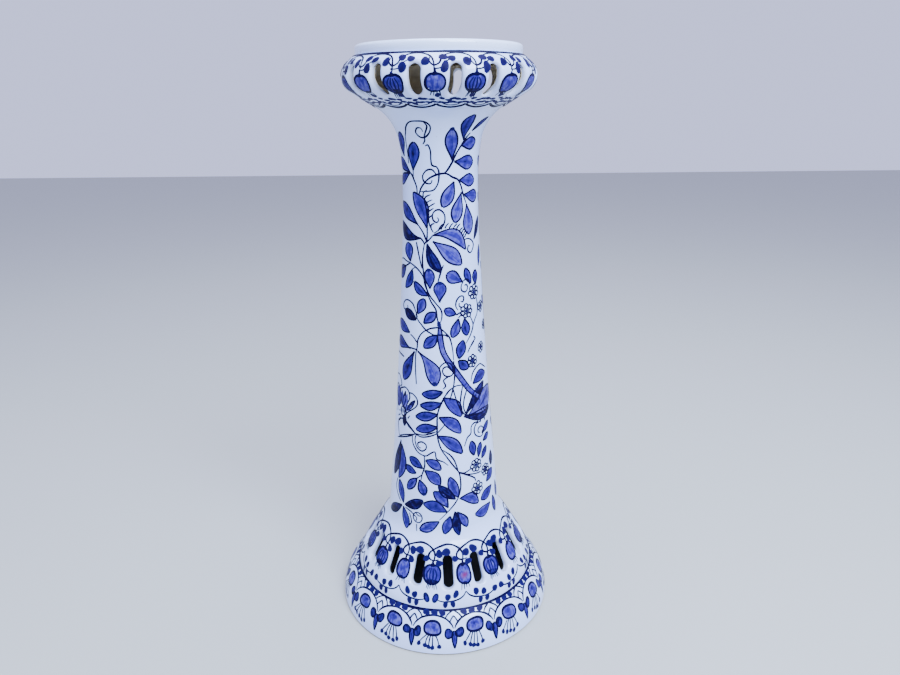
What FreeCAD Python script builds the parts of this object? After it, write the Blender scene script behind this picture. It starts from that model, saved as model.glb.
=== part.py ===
"""Glazed earthenware plant stand: a hollow pedestal of thrown and moulded
sections, stacked and luted together face to face, with a pierced dome at the
foot and a pierced gallery under the rim.  Millimetres, +Z up, origin on the
floor at the centre of the foot.  Angles round the stand count from the front
(-Y) towards +X.  Slopes of a profile count from the outward horizontal, so an
upright wall is 90.  Round stretches are worked out as arcs and built as short
straight rings, which keeps the solids light.
"""
import FreeCAD
import Part
import math
import os

V = FreeCAD.Vector

# Base skirt: the flared ring that stands on the floor
foot_radius = 152.8          # the widest place of the stand
foot_edge_height = 2.5       # the outer edge is drawn in below this
foot_edge_inset = 1.2
skirt_height = 54.0          # floor to ledge
skirt_wall = 9.0
skirt_foot_angle = 93.0
skirt_ledge_angle = 143.0

# Pierced dome, from the ledge up to the shaft
ledge_radius = 127.4
dome_height = 92.0
dome_wall = 8.0
dome_foot_angle = 92.0
dome_top_angle = 100.0
dome_foot_rise = 26.0        # height of the bend under the band
dome_foot_draw = 10.0        # how far that bend comes in
dome_top_rise = 30.0         # height of the bend over the straight band of the slots
dome_top_draw = 17.0         # how far that bend comes in
dome_slots = 16
dome_slot_width = 14.4
dome_slot_length = 41.5      # along the surface
dome_slot_height = 44.5      # centre of the slots above the ledge
dome_slot_phase = 2.2        # from the front to the first slot, in degrees
dome_slot_lip = 2.2          # softened outer edge of each slot

# Shaft with its trumpet neck
shoulder_radius = 79.6       # where the shaft leaves the dome
shaft_height = 544.5
shaft_wall = 8.0
shaft_foot_angle = 95.8
shaft_bend_ratio = 0.2
waist_radius = 47.2          # the narrowest place
neck_height = 78.5           # waist to crease
neck_radius = 75.5           # mouth of the trumpet, at the crease
neck_mouth_angle = 33.0
neck_bend_ratio = 1.2

# Pierced gallery
crease_step = 0.8            # the gallery overhangs the neck by this much
gallery_height = 58.1        # crease to rim
gallery_rise = 35.5          # crease to the widest ring
gallery_radius = 116.2
gallery_top_radius = 100.0
gallery_wall = 8.0
gallery_foot_angle = 31.0
gallery_foot_bend_ratio = 0.6
gallery_top_angle = 143.0
gallery_top_bend_ratio = 0.8
gallery_slots = 16
gallery_slot_width = 14.0
gallery_slot_length = 32.0
gallery_slot_height = 30.0   # centre of the slots above the crease
gallery_slot_phase = 8.8
gallery_slot_lip = 2.2
shelf_thickness = 8.0        # flat shelf inside the top of the gallery
shelf_bore_radius = 84.0

# Seat plate that closes the top, and the rim round it
plate_radius = 92.0
plate_thickness = 8.0
plate_rebate = 3.5           # the plate drops into the shelf by this much
plate_gap = 0.3              # play round the plate
rim_radius = 98.7
rim_height = 11.4
rim_lip = 4.0                # rounding of the outer top edge
rim_inner_edge = 1.2         # bevel of the inner top edge

# Heights of the seams
z_ledge = skirt_height
z_shoulder = z_ledge + dome_height
z_crease = z_shoulder + shaft_height
z_waist = z_crease - neck_height
z_girth = z_crease + gallery_rise
z_rim = z_crease + gallery_height
z_top = z_rim + rim_height
z_plate = z_rim - plate_rebate

slot_end_flats = 4           # straight cuts that round one end of a slot


def heading(slope):
    """Unit vector of a slope in the profile plane."""
    return V(math.cos(math.radians(slope)), 0, math.sin(math.radians(slope)))


def arc_points(start, direction, end, chords):
    """Points after the start on the arc that leaves it in a direction and reaches the end."""
    normal = V(-direction.z, 0, direction.x)
    reach = end - start
    turn = 2 * math.atan2(normal.dot(reach), direction.dot(reach))
    points = []
    for number in range(1, chords + 1):
        part = turn * number / chords
        length = reach.Length * math.sin(part / 2) / math.sin(turn / 2)
        forward = direction * (length * math.cos(part / 2))
        points.append(start + forward + normal * (length * math.sin(part / 2)))
    return points


def two_bends(start, start_slope, end, end_slope, bend_ratio, chords):
    """Points of two arcs that meet smoothly, leaving and arriving at the given slopes."""
    start = V(start[0], 0, start[1])
    end = V(end[0], 0, end[1])
    leave = heading(start_slope)
    arrive = heading(end_slope)
    span = end - start
    bend = 2 * bend_ratio * (1 - leave.dot(arrive))
    along = span.dot(leave + arrive * bend_ratio)
    reach = span.dot(span) / (along + math.sqrt(along ** 2 + bend * span.dot(span)))
    first = start + leave * reach
    second = end - arrive * (bend_ratio * reach)
    meeting = first + (second - first) * (1 / (1 + bend_ratio))
    middle_heading = (second - first).normalize()
    lower = arc_points(start, leave, meeting, chords[0])
    upper = arc_points(meeting, middle_heading, end, chords[1])
    return [start] + lower + upper


def radius_at(outline, height):
    """Outer radius of a profile at a height."""
    for low, high in zip(outline, outline[1:]):
        if low.z <= height <= high.z:
            return low.x + (high.x - low.x) * (height - low.z) / (high.z - low.z)
    raise ValueError("height is outside the profile")


def inside(outline, wall, shares):
    """Inner wall points at shares of the profile's height, one wall thickness in."""
    low = outline[0].z
    rise = outline[-1].z - low
    step = rise / 100
    points = []
    for share in shares:
        height = low + rise * share
        below = max(height - step, low)
        above = min(height + step, low + rise)
        slope = (radius_at(outline, above) - radius_at(outline, below)) / (above - below)
        across = wall * math.hypot(1, slope)
        points.append(V(radius_at(outline, height) - across, 0, height))
    return points


def spin(points):
    """Solid of revolution about the stand's axis from the corners of its section."""
    outline = Part.makePolygon(points + points[:1])
    return Part.Face(outline).revolve(V(0, 0, 0), V(0, 0, 1), 360)


def slot_outline(width, length):
    """Corners of an upright round-ended slot as (sideways, upwards) offsets."""
    half = width / 2
    straight = length / 2 - half
    corners = []
    for side in (1, -1):
        for number in range(slot_end_flats + 1):
            turn = math.pi * number / slot_end_flats
            across = side * half * math.cos(turn)
            upward = side * (straight + half * math.sin(turn))
            corners.append((across, upward))
    return corners


def on_profile(outline, base, outward, inset):
    """Point on a ray where it meets the revolved profile drawn in by inset."""
    low, high = -outline[0].x / 4, outline[0].x / 4
    for _ in range(50):
        middle = (low + high) / 2
        place = base + outward * middle
        height = min(max(place.z, outline[0].z), outline[-1].z)
        if math.hypot(place.x, place.y) < radius_at(outline, height) - inset:
            low = middle
        else:
            high = middle
    return base + outward * low


def slot_tool(outline, height, width, length, lip, wall):
    """Solid that cuts one slot through the +X side and softens its outer edge."""
    quarter = length / 4
    fall = radius_at(outline, height - quarter) - radius_at(outline, height + quarter)
    lean = math.atan2(fall, 2 * quarter)
    outward = V(math.cos(lean), 0, math.sin(lean))
    upward = V(-math.sin(lean), 0, math.cos(lean))
    centre = V(radius_at(outline, height), 0, height)

    def loop(growth, place):
        """Corners of the slot, grown all round, put in place one by one."""
        corners = []
        for across, along in slot_outline(width + 2 * growth, length + 2 * growth):
            corners.append(place(centre + V(0, across, 0) + upward * along))
        return corners

    loops = [
        loop(0, lambda corner: corner - outward * (4 * wall)),
        loop(0, lambda corner: on_profile(outline, corner, outward, lip)),
        loop(lip, lambda corner: on_profile(outline, corner, outward, 0)),
        loop(lip, lambda corner: corner + outward * (3 * wall))]
    faces = [Part.Face(Part.makePolygon(end + end[:1])) for end in (loops[0], loops[-1])]
    for low, high in zip(loops, loops[1:]):
        for number in range(len(low)):
            following = (number + 1) % len(low)
            for corners in ((low[number], low[following], high[following]),
                            (low[number], high[following], high[number])):
                faces.append(Part.Face(Part.makePolygon(corners + corners[:1])))
    return Part.Solid(Part.makeShell(faces))


def round_the_stand(tool, count, phase):
    """Copies of a tool round the stand, the first one phase degrees from the front."""
    copies = []
    for number in range(count):
        copy = tool.copy()
        copy.rotate(V(0, 0, 0), V(0, 0, 1), phase - 90 + number * 360 / count)
        copies.append(copy)
    return copies


skirt_outline = [V(foot_radius - foot_edge_inset, 0, 0)] + two_bends(
    (foot_radius, foot_edge_height), skirt_foot_angle,
    (ledge_radius, z_ledge), skirt_ledge_angle, 1.0, (3, 3))

band_foot = V(ledge_radius - dome_foot_draw, 0, z_ledge + dome_foot_rise)
band_top = V(shoulder_radius + dome_top_draw, 0, z_shoulder - dome_top_rise)
band_angle = math.degrees(math.atan2(band_top.z - band_foot.z, band_top.x - band_foot.x))
dome_outline = two_bends(
    (ledge_radius, z_ledge), dome_foot_angle,
    (band_foot.x, band_foot.z), band_angle, 1.0, (2, 2))
dome_outline += two_bends(
    (band_top.x, band_top.z), band_angle,
    (shoulder_radius, z_shoulder), dome_top_angle, 1.0, (2, 2))

shaft_outline = two_bends(
    (shoulder_radius, z_shoulder), shaft_foot_angle,
    (waist_radius, z_waist), 90, shaft_bend_ratio, (3, 2))
shaft_outline += two_bends(
    (waist_radius, z_waist), 90,
    (neck_radius, z_crease), neck_mouth_angle, neck_bend_ratio, (2, 6))[1:]

gallery_outline = two_bends(
    (neck_radius + crease_step, z_crease), gallery_foot_angle,
    (gallery_radius, z_girth), 90, gallery_foot_bend_ratio, (1, 4))
gallery_outline += two_bends(
    (gallery_radius, z_girth), 90,
    (gallery_top_radius, z_rim), gallery_top_angle, gallery_top_bend_ratio, (2, 1))[1:]


def make_base_skirt():
    """Flared foot ring that carries the stand; hollow and open underneath."""
    return spin(skirt_outline + inside(skirt_outline, skirt_wall, (1, 0.5, 0)))


def make_pierced_dome():
    """Dome with a ring of upright slots, each with a softened outer edge."""
    body = spin(dome_outline + inside(dome_outline, dome_wall, (1, 0)))
    tool = slot_tool(dome_outline, z_ledge + dome_slot_height,
                     dome_slot_width, dome_slot_length, dome_slot_lip, dome_wall)
    return body.cut(round_the_stand(tool, dome_slots, dome_slot_phase))


def make_shaft():
    """Tapering hollow shaft that opens into a trumpet neck."""
    waist_share = (z_waist - z_shoulder) / shaft_height
    mouth_share = 1 - neck_height / shaft_height / 3
    shares = (1, mouth_share, waist_share, 0.5, 0)
    return spin(shaft_outline + inside(shaft_outline, shaft_wall, shares))


def make_pierced_gallery():
    """Rounded gallery with a ring of slots and a rebated shelf inside its top."""
    z_shelf = z_rim - shelf_thickness
    shelf_share = 1 - shelf_thickness / gallery_height
    girth_share = gallery_rise / gallery_height
    shares = (shelf_share, (shelf_share + girth_share) / 2, girth_share / 1.5, 0)
    rebate = plate_radius + plate_gap
    shelf = [V(rebate, 0, z_rim), V(rebate, 0, z_plate), V(shelf_bore_radius, 0, z_plate)]
    shelf.append(V(shelf_bore_radius, 0, z_shelf))
    body = spin(gallery_outline + shelf + inside(gallery_outline, gallery_wall, shares))
    tool = slot_tool(gallery_outline, z_crease + gallery_slot_height,
                     gallery_slot_width, gallery_slot_length, gallery_slot_lip, gallery_wall)
    return body.cut(round_the_stand(tool, gallery_slots, gallery_slot_phase))


def make_seat_plate():
    """Flat disc that closes the top; the pot stands on it."""
    return Part.makeCylinder(plate_radius, plate_thickness, V(0, 0, z_plate))


def make_rim_ring():
    """Plain white rim that keeps the pot on the plate, with a rounded outer lip."""
    bore = plate_radius + plate_gap
    section = [V(bore, 0, z_rim), V(rim_radius, 0, z_rim), V(rim_radius, 0, z_top - rim_lip)]
    lip_end = V(rim_radius - rim_lip, 0, z_top)
    section += arc_points(section[-1], heading(90), lip_end, 3)
    section += [V(bore + rim_inner_edge, 0, z_top), V(bore, 0, z_top - rim_inner_edge)]
    return spin(section)


os.makedirs("parts", exist_ok=True)
makers = {
    "base_skirt": make_base_skirt,
    "pierced_dome": make_pierced_dome,
    "shaft": make_shaft,
    "pierced_gallery": make_pierced_gallery,
    "seat_plate": make_seat_plate,
    "rim_ring": make_rim_ring,
}
for node, maker in makers.items():
    shape = maker()
    shape.exportStep("parts/" + node + ".step")
    print(node, len(shape.Solids), "solid, valid:", shape.isValid(), "volume cm3:",
          round(shape.Volume / 1000))
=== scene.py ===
"""Blue and white glazed earthenware plant stand, dressed for the camera.

The fired body is built section by section (foot, pierced dome, shaft, pierced
gallery, seat and rim), and the cobalt painting lies on it as thin fired layers
of brush strokes.  Sizes are millimetres; angles round the stand are degrees
from the front (-Y) towards +X.  Meshes are written in metres.
"""

import bisect
import logging
import math
import random
from dataclasses import dataclass, field
from enum import Enum

import bmesh
import bpy
from mathutils import Matrix, Vector

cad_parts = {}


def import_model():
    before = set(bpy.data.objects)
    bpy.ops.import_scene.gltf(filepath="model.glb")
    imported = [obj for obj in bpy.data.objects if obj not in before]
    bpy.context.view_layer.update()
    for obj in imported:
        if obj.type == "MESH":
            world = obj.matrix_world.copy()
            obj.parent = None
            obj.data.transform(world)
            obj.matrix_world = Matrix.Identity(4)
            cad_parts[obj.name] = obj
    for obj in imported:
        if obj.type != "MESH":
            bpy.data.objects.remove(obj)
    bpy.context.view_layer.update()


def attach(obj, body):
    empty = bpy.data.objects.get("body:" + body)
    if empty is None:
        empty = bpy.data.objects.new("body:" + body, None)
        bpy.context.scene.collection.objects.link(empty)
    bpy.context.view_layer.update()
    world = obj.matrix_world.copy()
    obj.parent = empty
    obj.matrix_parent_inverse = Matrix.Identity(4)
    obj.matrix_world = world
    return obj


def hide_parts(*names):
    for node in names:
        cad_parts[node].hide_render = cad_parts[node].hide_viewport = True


log = logging.getLogger("plant_stand")

MM = 0.001
BODY = "root"
Pair = tuple[float, float]
Triple = tuple[float, float, float]
Feed = float | tuple[float, ...] | bpy.types.NodeSocket
Path = list[Pair]


class Slot(Enum):
    """Material slots of the record."""

    PAINTED = "painted_glaze"
    PLAIN = "plain_glaze"


class Layer(Enum):
    """Height of a painted layer over the glaze, in millimetres."""

    WASH = 0.07
    SHADE = 0.105
    LINE = 0.14
    DOT = 0.17


class Tone(Enum):
    """How much cobalt a wash carries: 0 is the palest, 1 almost black blue."""

    LIGHT = 0.27
    MID = 0.42
    DEEP = 0.56
    DARK = 0.93


LIGHT, MID, DEEP, DARK = Tone
Frond = tuple[Pair, Pair, float, Tone, float]


# Profiles

def unit(slope: float) -> Vector:
    """Unit vector of a profile slope, counted from the outward horizontal."""
    return Vector((math.cos(math.radians(slope)), math.sin(math.radians(slope))))


def round_axis(radius: float, angle: float, height: float) -> Vector:
    """Place at a distance from the axis, an angle from the front and a height."""
    turn = math.radians(angle)
    return Vector((radius * math.sin(turn), -radius * math.cos(turn), height))


def arc_points(start: Vector, direction: Vector, end: Vector, chords: int) -> list[Vector]:
    """Points of the arc that leaves a point in a direction and reaches the end.

    Args:
        start: first point of the arc, not returned.
        direction: unit vector in which the arc leaves.
        end: last point of the arc.
        chords: how many points to return.

    Returns:
        The points after the start, the end included.
    """
    normal = Vector((-direction.y, direction.x))
    reach = end - start
    turn = 2 * math.atan2(normal.dot(reach), direction.dot(reach))
    points = []
    for number in range(1, chords + 1):
        part = turn * number / chords
        length = reach.length * math.sin(part / 2) / math.sin(turn / 2)
        along = direction * (length * math.cos(part / 2))
        points.append(start + along + normal * (length * math.sin(part / 2)))
    return points


def two_bends(start: Pair, start_slope: float, end: Pair, end_slope: float,
              balance: float, chords: int) -> list[Vector]:
    """Two arcs that meet smoothly and leave and arrive at the given slopes.

    Args:
        start: radius and height of the first point.
        start_slope: slope there, in degrees.
        end: radius and height of the last point.
        end_slope: slope there, in degrees.
        balance: length of the second arc's tangent over the first one's.
        chords: points on each arc.

    Returns:
        Radius and height pairs from start to end.
    """
    first, last = Vector(start), Vector(end)
    leave, arrive = unit(start_slope), unit(end_slope)
    span = last - first
    bend = 2 * balance * (1 - leave.dot(arrive))
    along = span.dot(leave + arrive * balance)
    reach = span.dot(span) / (along + math.sqrt(along ** 2 + bend * span.dot(span)))
    knee = first + leave * reach
    far_knee = last - arrive * (balance * reach)
    meeting = knee + (far_knee - knee) * (1 / (1 + balance))
    heading = (far_knee - knee).normalized()
    lower = arc_points(first, leave, meeting, chords)
    upper = arc_points(meeting, heading, last, chords)
    return [first] + lower + upper


@dataclass
class Wall:
    """Outer face of a section of the stand, as a profile from low to high.

    Args:
        outline: radius and height pairs, heights rising.
        thickness: wall thickness across the wall, or 0 for an inner face.
    """

    outline: list[Vector]
    thickness: float = 0.0
    starts: list[float] = field(init=False)

    def __post_init__(self) -> None:
        self.starts = [point.y for point in self.outline]

    def radius(self, height: float) -> float:
        """Outer radius at a height."""
        points = self.outline
        if height <= points[0].y:
            return points[0].x
        if height >= points[-1].y:
            return points[-1].x
        upper = bisect.bisect_right(self.starts, height)
        low, high = points[upper - 1], points[upper]
        share = (height - low.y) / max(high.y - low.y, 1e-9)
        return low.x + (high.x - low.x) * share

    def lean(self, height: float) -> float:
        """Change of radius for each millimetre of height."""
        step = 0.6
        low = max(height - step, self.outline[0].y)
        high = min(height + step, self.outline[-1].y)
        return (self.radius(high) - self.radius(low)) / (high - low)

    def face(self, angle: float, height: float, lift: float = 0.0) -> Vector:
        """Point on the face, or off it along its normal.

        Args:
            angle: degrees round the stand.
            height: height on the profile.
            lift: distance off the face, outwards.

        Returns:
            The place in millimetres.
        """
        lean = self.lean(height)
        scale = lift / math.hypot(1, lean)
        return round_axis(self.radius(height) + scale, angle, height - lean * scale)

    def normal(self, angle: float, height: float) -> Vector:
        """Outward unit normal of the face."""
        return round_axis(1, angle, -self.lean(height)).normalized()

    def across(self, height: float) -> float:
        """Millimetres of arc for each degree round the stand."""
        return self.radius(height) * math.pi / 180

    def along(self, height: float) -> float:
        """Millimetres of wall for each millimetre of height."""
        return math.hypot(1, self.lean(height))

    def inset(self, heights: list[float]) -> list[Vector]:
        """Profile of the wall's other face at the given heights, rising."""
        return [Vector((self.radius(height) - self.thickness * self.along(height), height))
                for height in heights]


# Mesh building

@dataclass
class Shell:
    """A mesh under construction, in millimetres, with paint values on its points."""

    points: list[Vector] = field(default_factory=list)
    faces: list[tuple[int, ...]] = field(default_factory=list)
    normals: list[Vector] = field(default_factory=list)
    tones: list[float] = field(default_factory=list)
    grain: list[Triple] = field(default_factory=list)
    blush: list[float] = field(default_factory=list)
    finishes: list[int] = field(default_factory=list)

    def add(self, place: Vector, normal: Vector | None = None, tone: float = 0.0,
            grain: Triple = (0.0, 0.0, 0.0), blush: float = 0.0) -> int:
        """Adds a point, with a normal where the piece has its own, and returns its number."""
        self.points.append(place)
        self.blush.append(blush)
        self.normals.append(normal)
        self.tones.append(tone)
        self.grain.append(grain)
        return len(self.points) - 1

    def skin(self, ring: tuple[int, ...], finish: int = 0) -> None:
        """Adds a face, with the number of its finish."""
        self.faces.append(ring)
        self.finishes.append(finish)

    def build(self, name: str, finishes: list[bpy.types.Material], slot: Slot,
              replaces: tuple[str, ...] = (), own_normals: bool = True,
              turn_out: bool = False) -> bpy.types.Object:
        """Makes the Blender piece and ties it to the frame.

        Args:
            name: name of the piece.
            finishes: its materials, by the faces' finish numbers.
            slot: the record's slot that it is finished like; not used.
            replaces: frame nodes that it stands for.
            own_normals: shade with the normals given to its points.
            turn_out: turn all faces of its closed parts outwards.

        Returns:
            The new object.
        """
        mesh = bpy.data.meshes.new(name)
        mesh.from_pydata([point * MM for point in self.points], [], self.faces)
        for material in finishes:
            mesh.materials.append(material)
        mesh.polygons.foreach_set("material_index", self.finishes)
        mesh.polygons.foreach_set("use_smooth", [True] * len(self.faces))
        grain = [part for item in self.grain for part in item]
        for label, kind, key, values in (("tone", "FLOAT", "value", self.tones),
                                         ("grain", "FLOAT_VECTOR", "vector", grain),
                                         ("blush", "FLOAT", "value", self.blush)):
            mesh.attributes.new(label, kind, "POINT").data.foreach_set(key, values)
        mesh.validate()
        if turn_out:
            work = bmesh.new()
            work.from_mesh(mesh)
            bmesh.ops.recalc_face_normals(work, faces=work.faces)
            work.to_mesh(mesh)
            work.free()
        mesh.update()
        if own_normals:
            mesh.normals_split_custom_set_from_vertices(self.normals)
        piece = bpy.data.objects.new(name, mesh)
        bpy.context.scene.collection.objects.link(piece)
        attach(piece, BODY)
        for node in replaces:
            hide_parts(node)
        log.info("%s: %d faces", name, len(self.faces))
        return piece


def turned(section: list[Vector], finishes: list[int], columns: int) -> Shell:
    """Turns a closed section round the axis, each corner kept sharp by its own normals.

    Args:
        section: radius and height pairs, counter-clockwise, closed on itself.
        finishes: finish number of each side of the section.
        columns: divisions round the axis.

    Returns:
        The turned mesh.
    """
    shell = Shell()
    sides = len(section)
    for number in range(sides):
        low, high = section[number], section[(number + 1) % sides]
        run = high - low
        if run.length < 1e-6:
            continue
        before = section[number] - section[number - 1]
        after = section[(number + 2) % sides] - high
        ends = []
        for corner, other, joined in ((low, before, finishes[number - 1] == finishes[number]),
                                      (high, after, finishes[(number + 1) % sides]
                                       == finishes[number])):
            own = run.normalized()
            near = other.normalized() if other.length > 1e-6 else own
            smooth = own.dot(near) > 0.8 and joined
            heading = (own + near).normalized() if smooth else own
            ring = []
            for column in range(columns):
                angle = 360 * column / columns
                ring.append(shell.add(round_axis(corner.x, angle, corner.y),
                                      round_axis(heading.y, angle, -heading.x)))
            ends.append(ring)
        for column in range(columns):
            following = (column + 1) % columns
            shell.skin((ends[0][column], ends[0][following], ends[1][following],
                        ends[1][column]), finishes[number])
    return shell


# Finishes

class Recipe:
    """A node material under construction.

    Args:
        name: name of the material.
        settings: values of the shader's sockets, by name.
    """

    def __init__(self, name: str, settings: dict[str, float]) -> None:
        """Starts the material."""
        self.material = bpy.data.materials.new(name)
        self.material.use_nodes = True
        self.nodes = self.material.node_tree.nodes
        self.shader = self.nodes["Principled BSDF"]
        self.feed(self.shader, settings)
        self.place = self.nodes.new("ShaderNodeTexCoord").outputs["Object"]

    def feed(self, node: bpy.types.Node, feeds: dict[str | int, Feed]) -> None:
        """Gives a node's sockets their values, or links them to other nodes."""
        for socket, feed in feeds.items():
            if isinstance(feed, bpy.types.NodeSocket):
                self.material.node_tree.links.new(feed, node.inputs[socket])
            else:
                node.inputs[socket].default_value = feed

    def noise(self, scale: float, detail: float,
              where: bpy.types.NodeSocket | None = None) -> bpy.types.NodeSocket:
        """Adds a cloudy pattern, on the piece's own coordinates unless told otherwise."""
        node = self.nodes.new("ShaderNodeTexNoise")
        self.feed(node, {"Scale": scale, "Detail": detail, "Vector": where or self.place})
        return node.outputs["Fac"]

    def attribute(self, name: str, output: str = "Fac") -> bpy.types.NodeSocket:
        """Reads a value that the mesh carries on its points."""
        node = self.nodes.new("ShaderNodeAttribute")
        node.attribute_name = name
        return node.outputs[output]

    def sum(self, operation: str, *terms: Feed) -> bpy.types.NodeSocket:
        """Adds a sum of the given kind."""
        node = self.nodes.new("ShaderNodeMath")
        node.operation = operation
        self.feed(node, dict(enumerate(terms)))
        return node.outputs[0]

    def ramp(self, value: bpy.types.NodeSocket,
             stops: list[tuple[float, Triple]]) -> bpy.types.NodeSocket:
        """Turns a value into a colour.

        Args:
            value: what is looked up.
            stops: places from low to high, each with its colour.

        Returns:
            The colour.
        """
        node = self.nodes.new("ShaderNodeValToRGB")
        self.feed(node, {"Fac": value})
        marks = node.color_ramp.elements
        marks[0].position, marks[1].position = stops[0][0], stops[-1][0]
        for place, _ in stops[1:-1]:
            marks.new(place)
        for mark, (_, colour) in zip(marks, stops):
            mark.color = (*colour, 1)
        return node.outputs["Color"]

    def mix(self, share: bpy.types.NodeSocket, under: bpy.types.NodeSocket,
            over: Triple) -> bpy.types.NodeSocket:
        """Mixes a second colour over the first one."""
        node = self.nodes.new("ShaderNodeMix")
        node.data_type = "RGBA"
        self.feed(node, {"B": (*over, 1), "Factor": share, "A": under})
        return node.outputs["Result"]

    def bump(self, height: bpy.types.NodeSocket, strength: float, depth: float) -> None:
        """Makes the surface uneven, by a depth in millimetres."""
        node = self.nodes.new("ShaderNodeBump")
        self.feed(node, {"Strength": strength, "Distance": depth * MM, "Height": height})
        self.feed(self.shader, {"Normal": node.outputs["Normal"]})

    def finish(self, colour: bpy.types.NodeSocket) -> bpy.types.Material:
        """Colours the surface and hands the material over."""
        self.feed(self.shader, {"Base Color": colour})
        return self.material


@dataclass(frozen=True)
class Glaze:
    """Opaque tin glaze over fired clay, glossy and slightly uneven.

    Args:
        name: name of the finish.
        colour: colour of the glaze.
        pool: colour where the glaze gathers or thins.
        speck_colour: colour of its small specks.
        recess_shade_colour: grey of the painted shade round the slots' rims and on their through
            faces.
        roughness: how dull the gloss is.
        speck: how strong the specks are.
        bump: depth of its unevenness, in millimetres.
    """

    name: str
    colour: Triple
    pool: Triple
    speck_colour: Triple = (0.16, 0.17, 0.22)
    recess_shade_colour: Triple = (0.55, 0.53, 0.55)
    roughness: float = 0.16
    speck: float = 0.35
    bump: float = 0.25

    def make(self) -> bpy.types.Material:
        """Builds the node material."""
        recipe = Recipe(self.name, {"Roughness": self.roughness, "IOR": 1.5,
                                    "Coat Weight": 0.30, "Coat Roughness": 0.06})
        mottle = recipe.ramp(recipe.noise(16, 4), [(0.36, self.pool), (0.62, self.colour)])
        cells = recipe.nodes.new("ShaderNodeTexVoronoi")
        recipe.feed(cells, {"Scale": 95, "Vector": recipe.place})
        specks = recipe.ramp(cells.outputs["Distance"], [(0.035, (1, 1, 1)), (0.075, (0, 0, 0))])
        spotted = recipe.mix(recipe.sum("MULTIPLY", specks, self.speck), mottle,
                             self.speck_colour)
        # painted shade: the mesh's tone value mixes in grey round the slots' rims and on their through
        # faces
        recess_shaded = recipe.mix(recipe.attribute("tone"), spotted, self.recess_shade_colour)
        recipe.bump(recipe.noise(38, 3), 0.35, self.bump)
        return recipe.finish(recess_shaded)


@dataclass(frozen=True)
class Cobalt:
    """Cobalt brushwork fired under the gloss, from pale wash to blue black.

    Args:
        name: name of the finish.
        pale: colour of the thinnest wash.
        mid: colour of a full wash.
        dark: colour of the loaded brush.
        ripe: colour of the flush on some of the fruits.
        streaks: how much the brush marks show.
    """

    name: str
    pale: Triple = (0.135, 0.132, 0.44)
    mid: Triple = (0.028, 0.019, 0.22)
    dark: Triple = (0.003, 0.001, 0.022)
    ripe: Triple = (0.150, 0.006, 0.050)
    streaks: float = 0.42

    def make(self) -> bpy.types.Material:
        """Builds the node material."""
        recipe = Recipe(self.name, {"Roughness": 0.3, "IOR": 1.3, "Specular IOR Level": 0.08})
        hairs = recipe.noise(1, 3, recipe.attribute("grain", "Vector"))
        pools = recipe.noise(170, 2)
        uneven = recipe.sum("SUBTRACT", recipe.sum("ADD", hairs, pools), 1.0)
        load = recipe.sum("MULTIPLY_ADD", uneven, self.streaks * 2, recipe.attribute("tone"))
        paint = recipe.ramp(load, [(0.0, self.pale), (0.5, self.mid), (1.0, self.dark)])
        return recipe.finish(recipe.mix(recipe.attribute("blush"), paint, self.ripe))


@dataclass(frozen=True)
class Clay:
    """Bare or thinly washed fired clay, dull and grainy.

    Args:
        name: name of the finish.
        colour: main colour.
        shade: colour of its darker grains.
        roughness: how dull it is.
    """

    name: str
    colour: Triple
    shade: Triple
    roughness: float = 0.75

    def make(self) -> bpy.types.Material:
        """Builds the node material."""
        recipe = Recipe(self.name, {"Roughness": self.roughness})
        grains = recipe.noise(120, 6)
        recipe.bump(grains, 0.5, 0.3)
        return recipe.finish(recipe.ramp(grains, [(0.35, self.shade), (0.65, self.colour)]))


@dataclass
class Palette:
    """All finishes of the stand, made once."""

    white: bpy.types.Material
    plain: bpy.types.Material
    # the inside finish is near black: painted shade for the hollow insides, where no light reaches
    inside: bpy.types.Material
    hollow: bpy.types.Material
    bare: bpy.types.Material
    wash: bpy.types.Material
    line: bpy.types.Material


def make_palette() -> Palette:
    """Makes the finishes."""
    return Palette(
        white=Glaze("painted_white_glaze", (0.53, 0.645, 0.98), (0.49, 0.605, 0.95)).make(),
        plain=Glaze("plain_white_glaze", (0.64, 0.74, 0.99), (0.60, 0.71, 0.97)).make(),
        # near-black clay: painted shade on the hollow insides of the foot, dome and shaft and under
        # the seat plate
        inside=Clay("painted_shade_inside_clay", (0.030, 0.028, 0.026), (0.018, 0.017, 0.016), 0.8).make(),
        hollow=Clay("gallery_inside_clay", (0.75, 0.65, 0.43), (0.65, 0.56, 0.37),
                    0.8).make(),
        bare=Clay("bare_foot_clay", (0.30, 0.25, 0.20), (0.12, 0.10, 0.08)).make(),
        wash=Cobalt("cobalt_wash").make(),
        line=Cobalt("cobalt_line", streaks=0.05).make())


# Sections of the body

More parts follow.
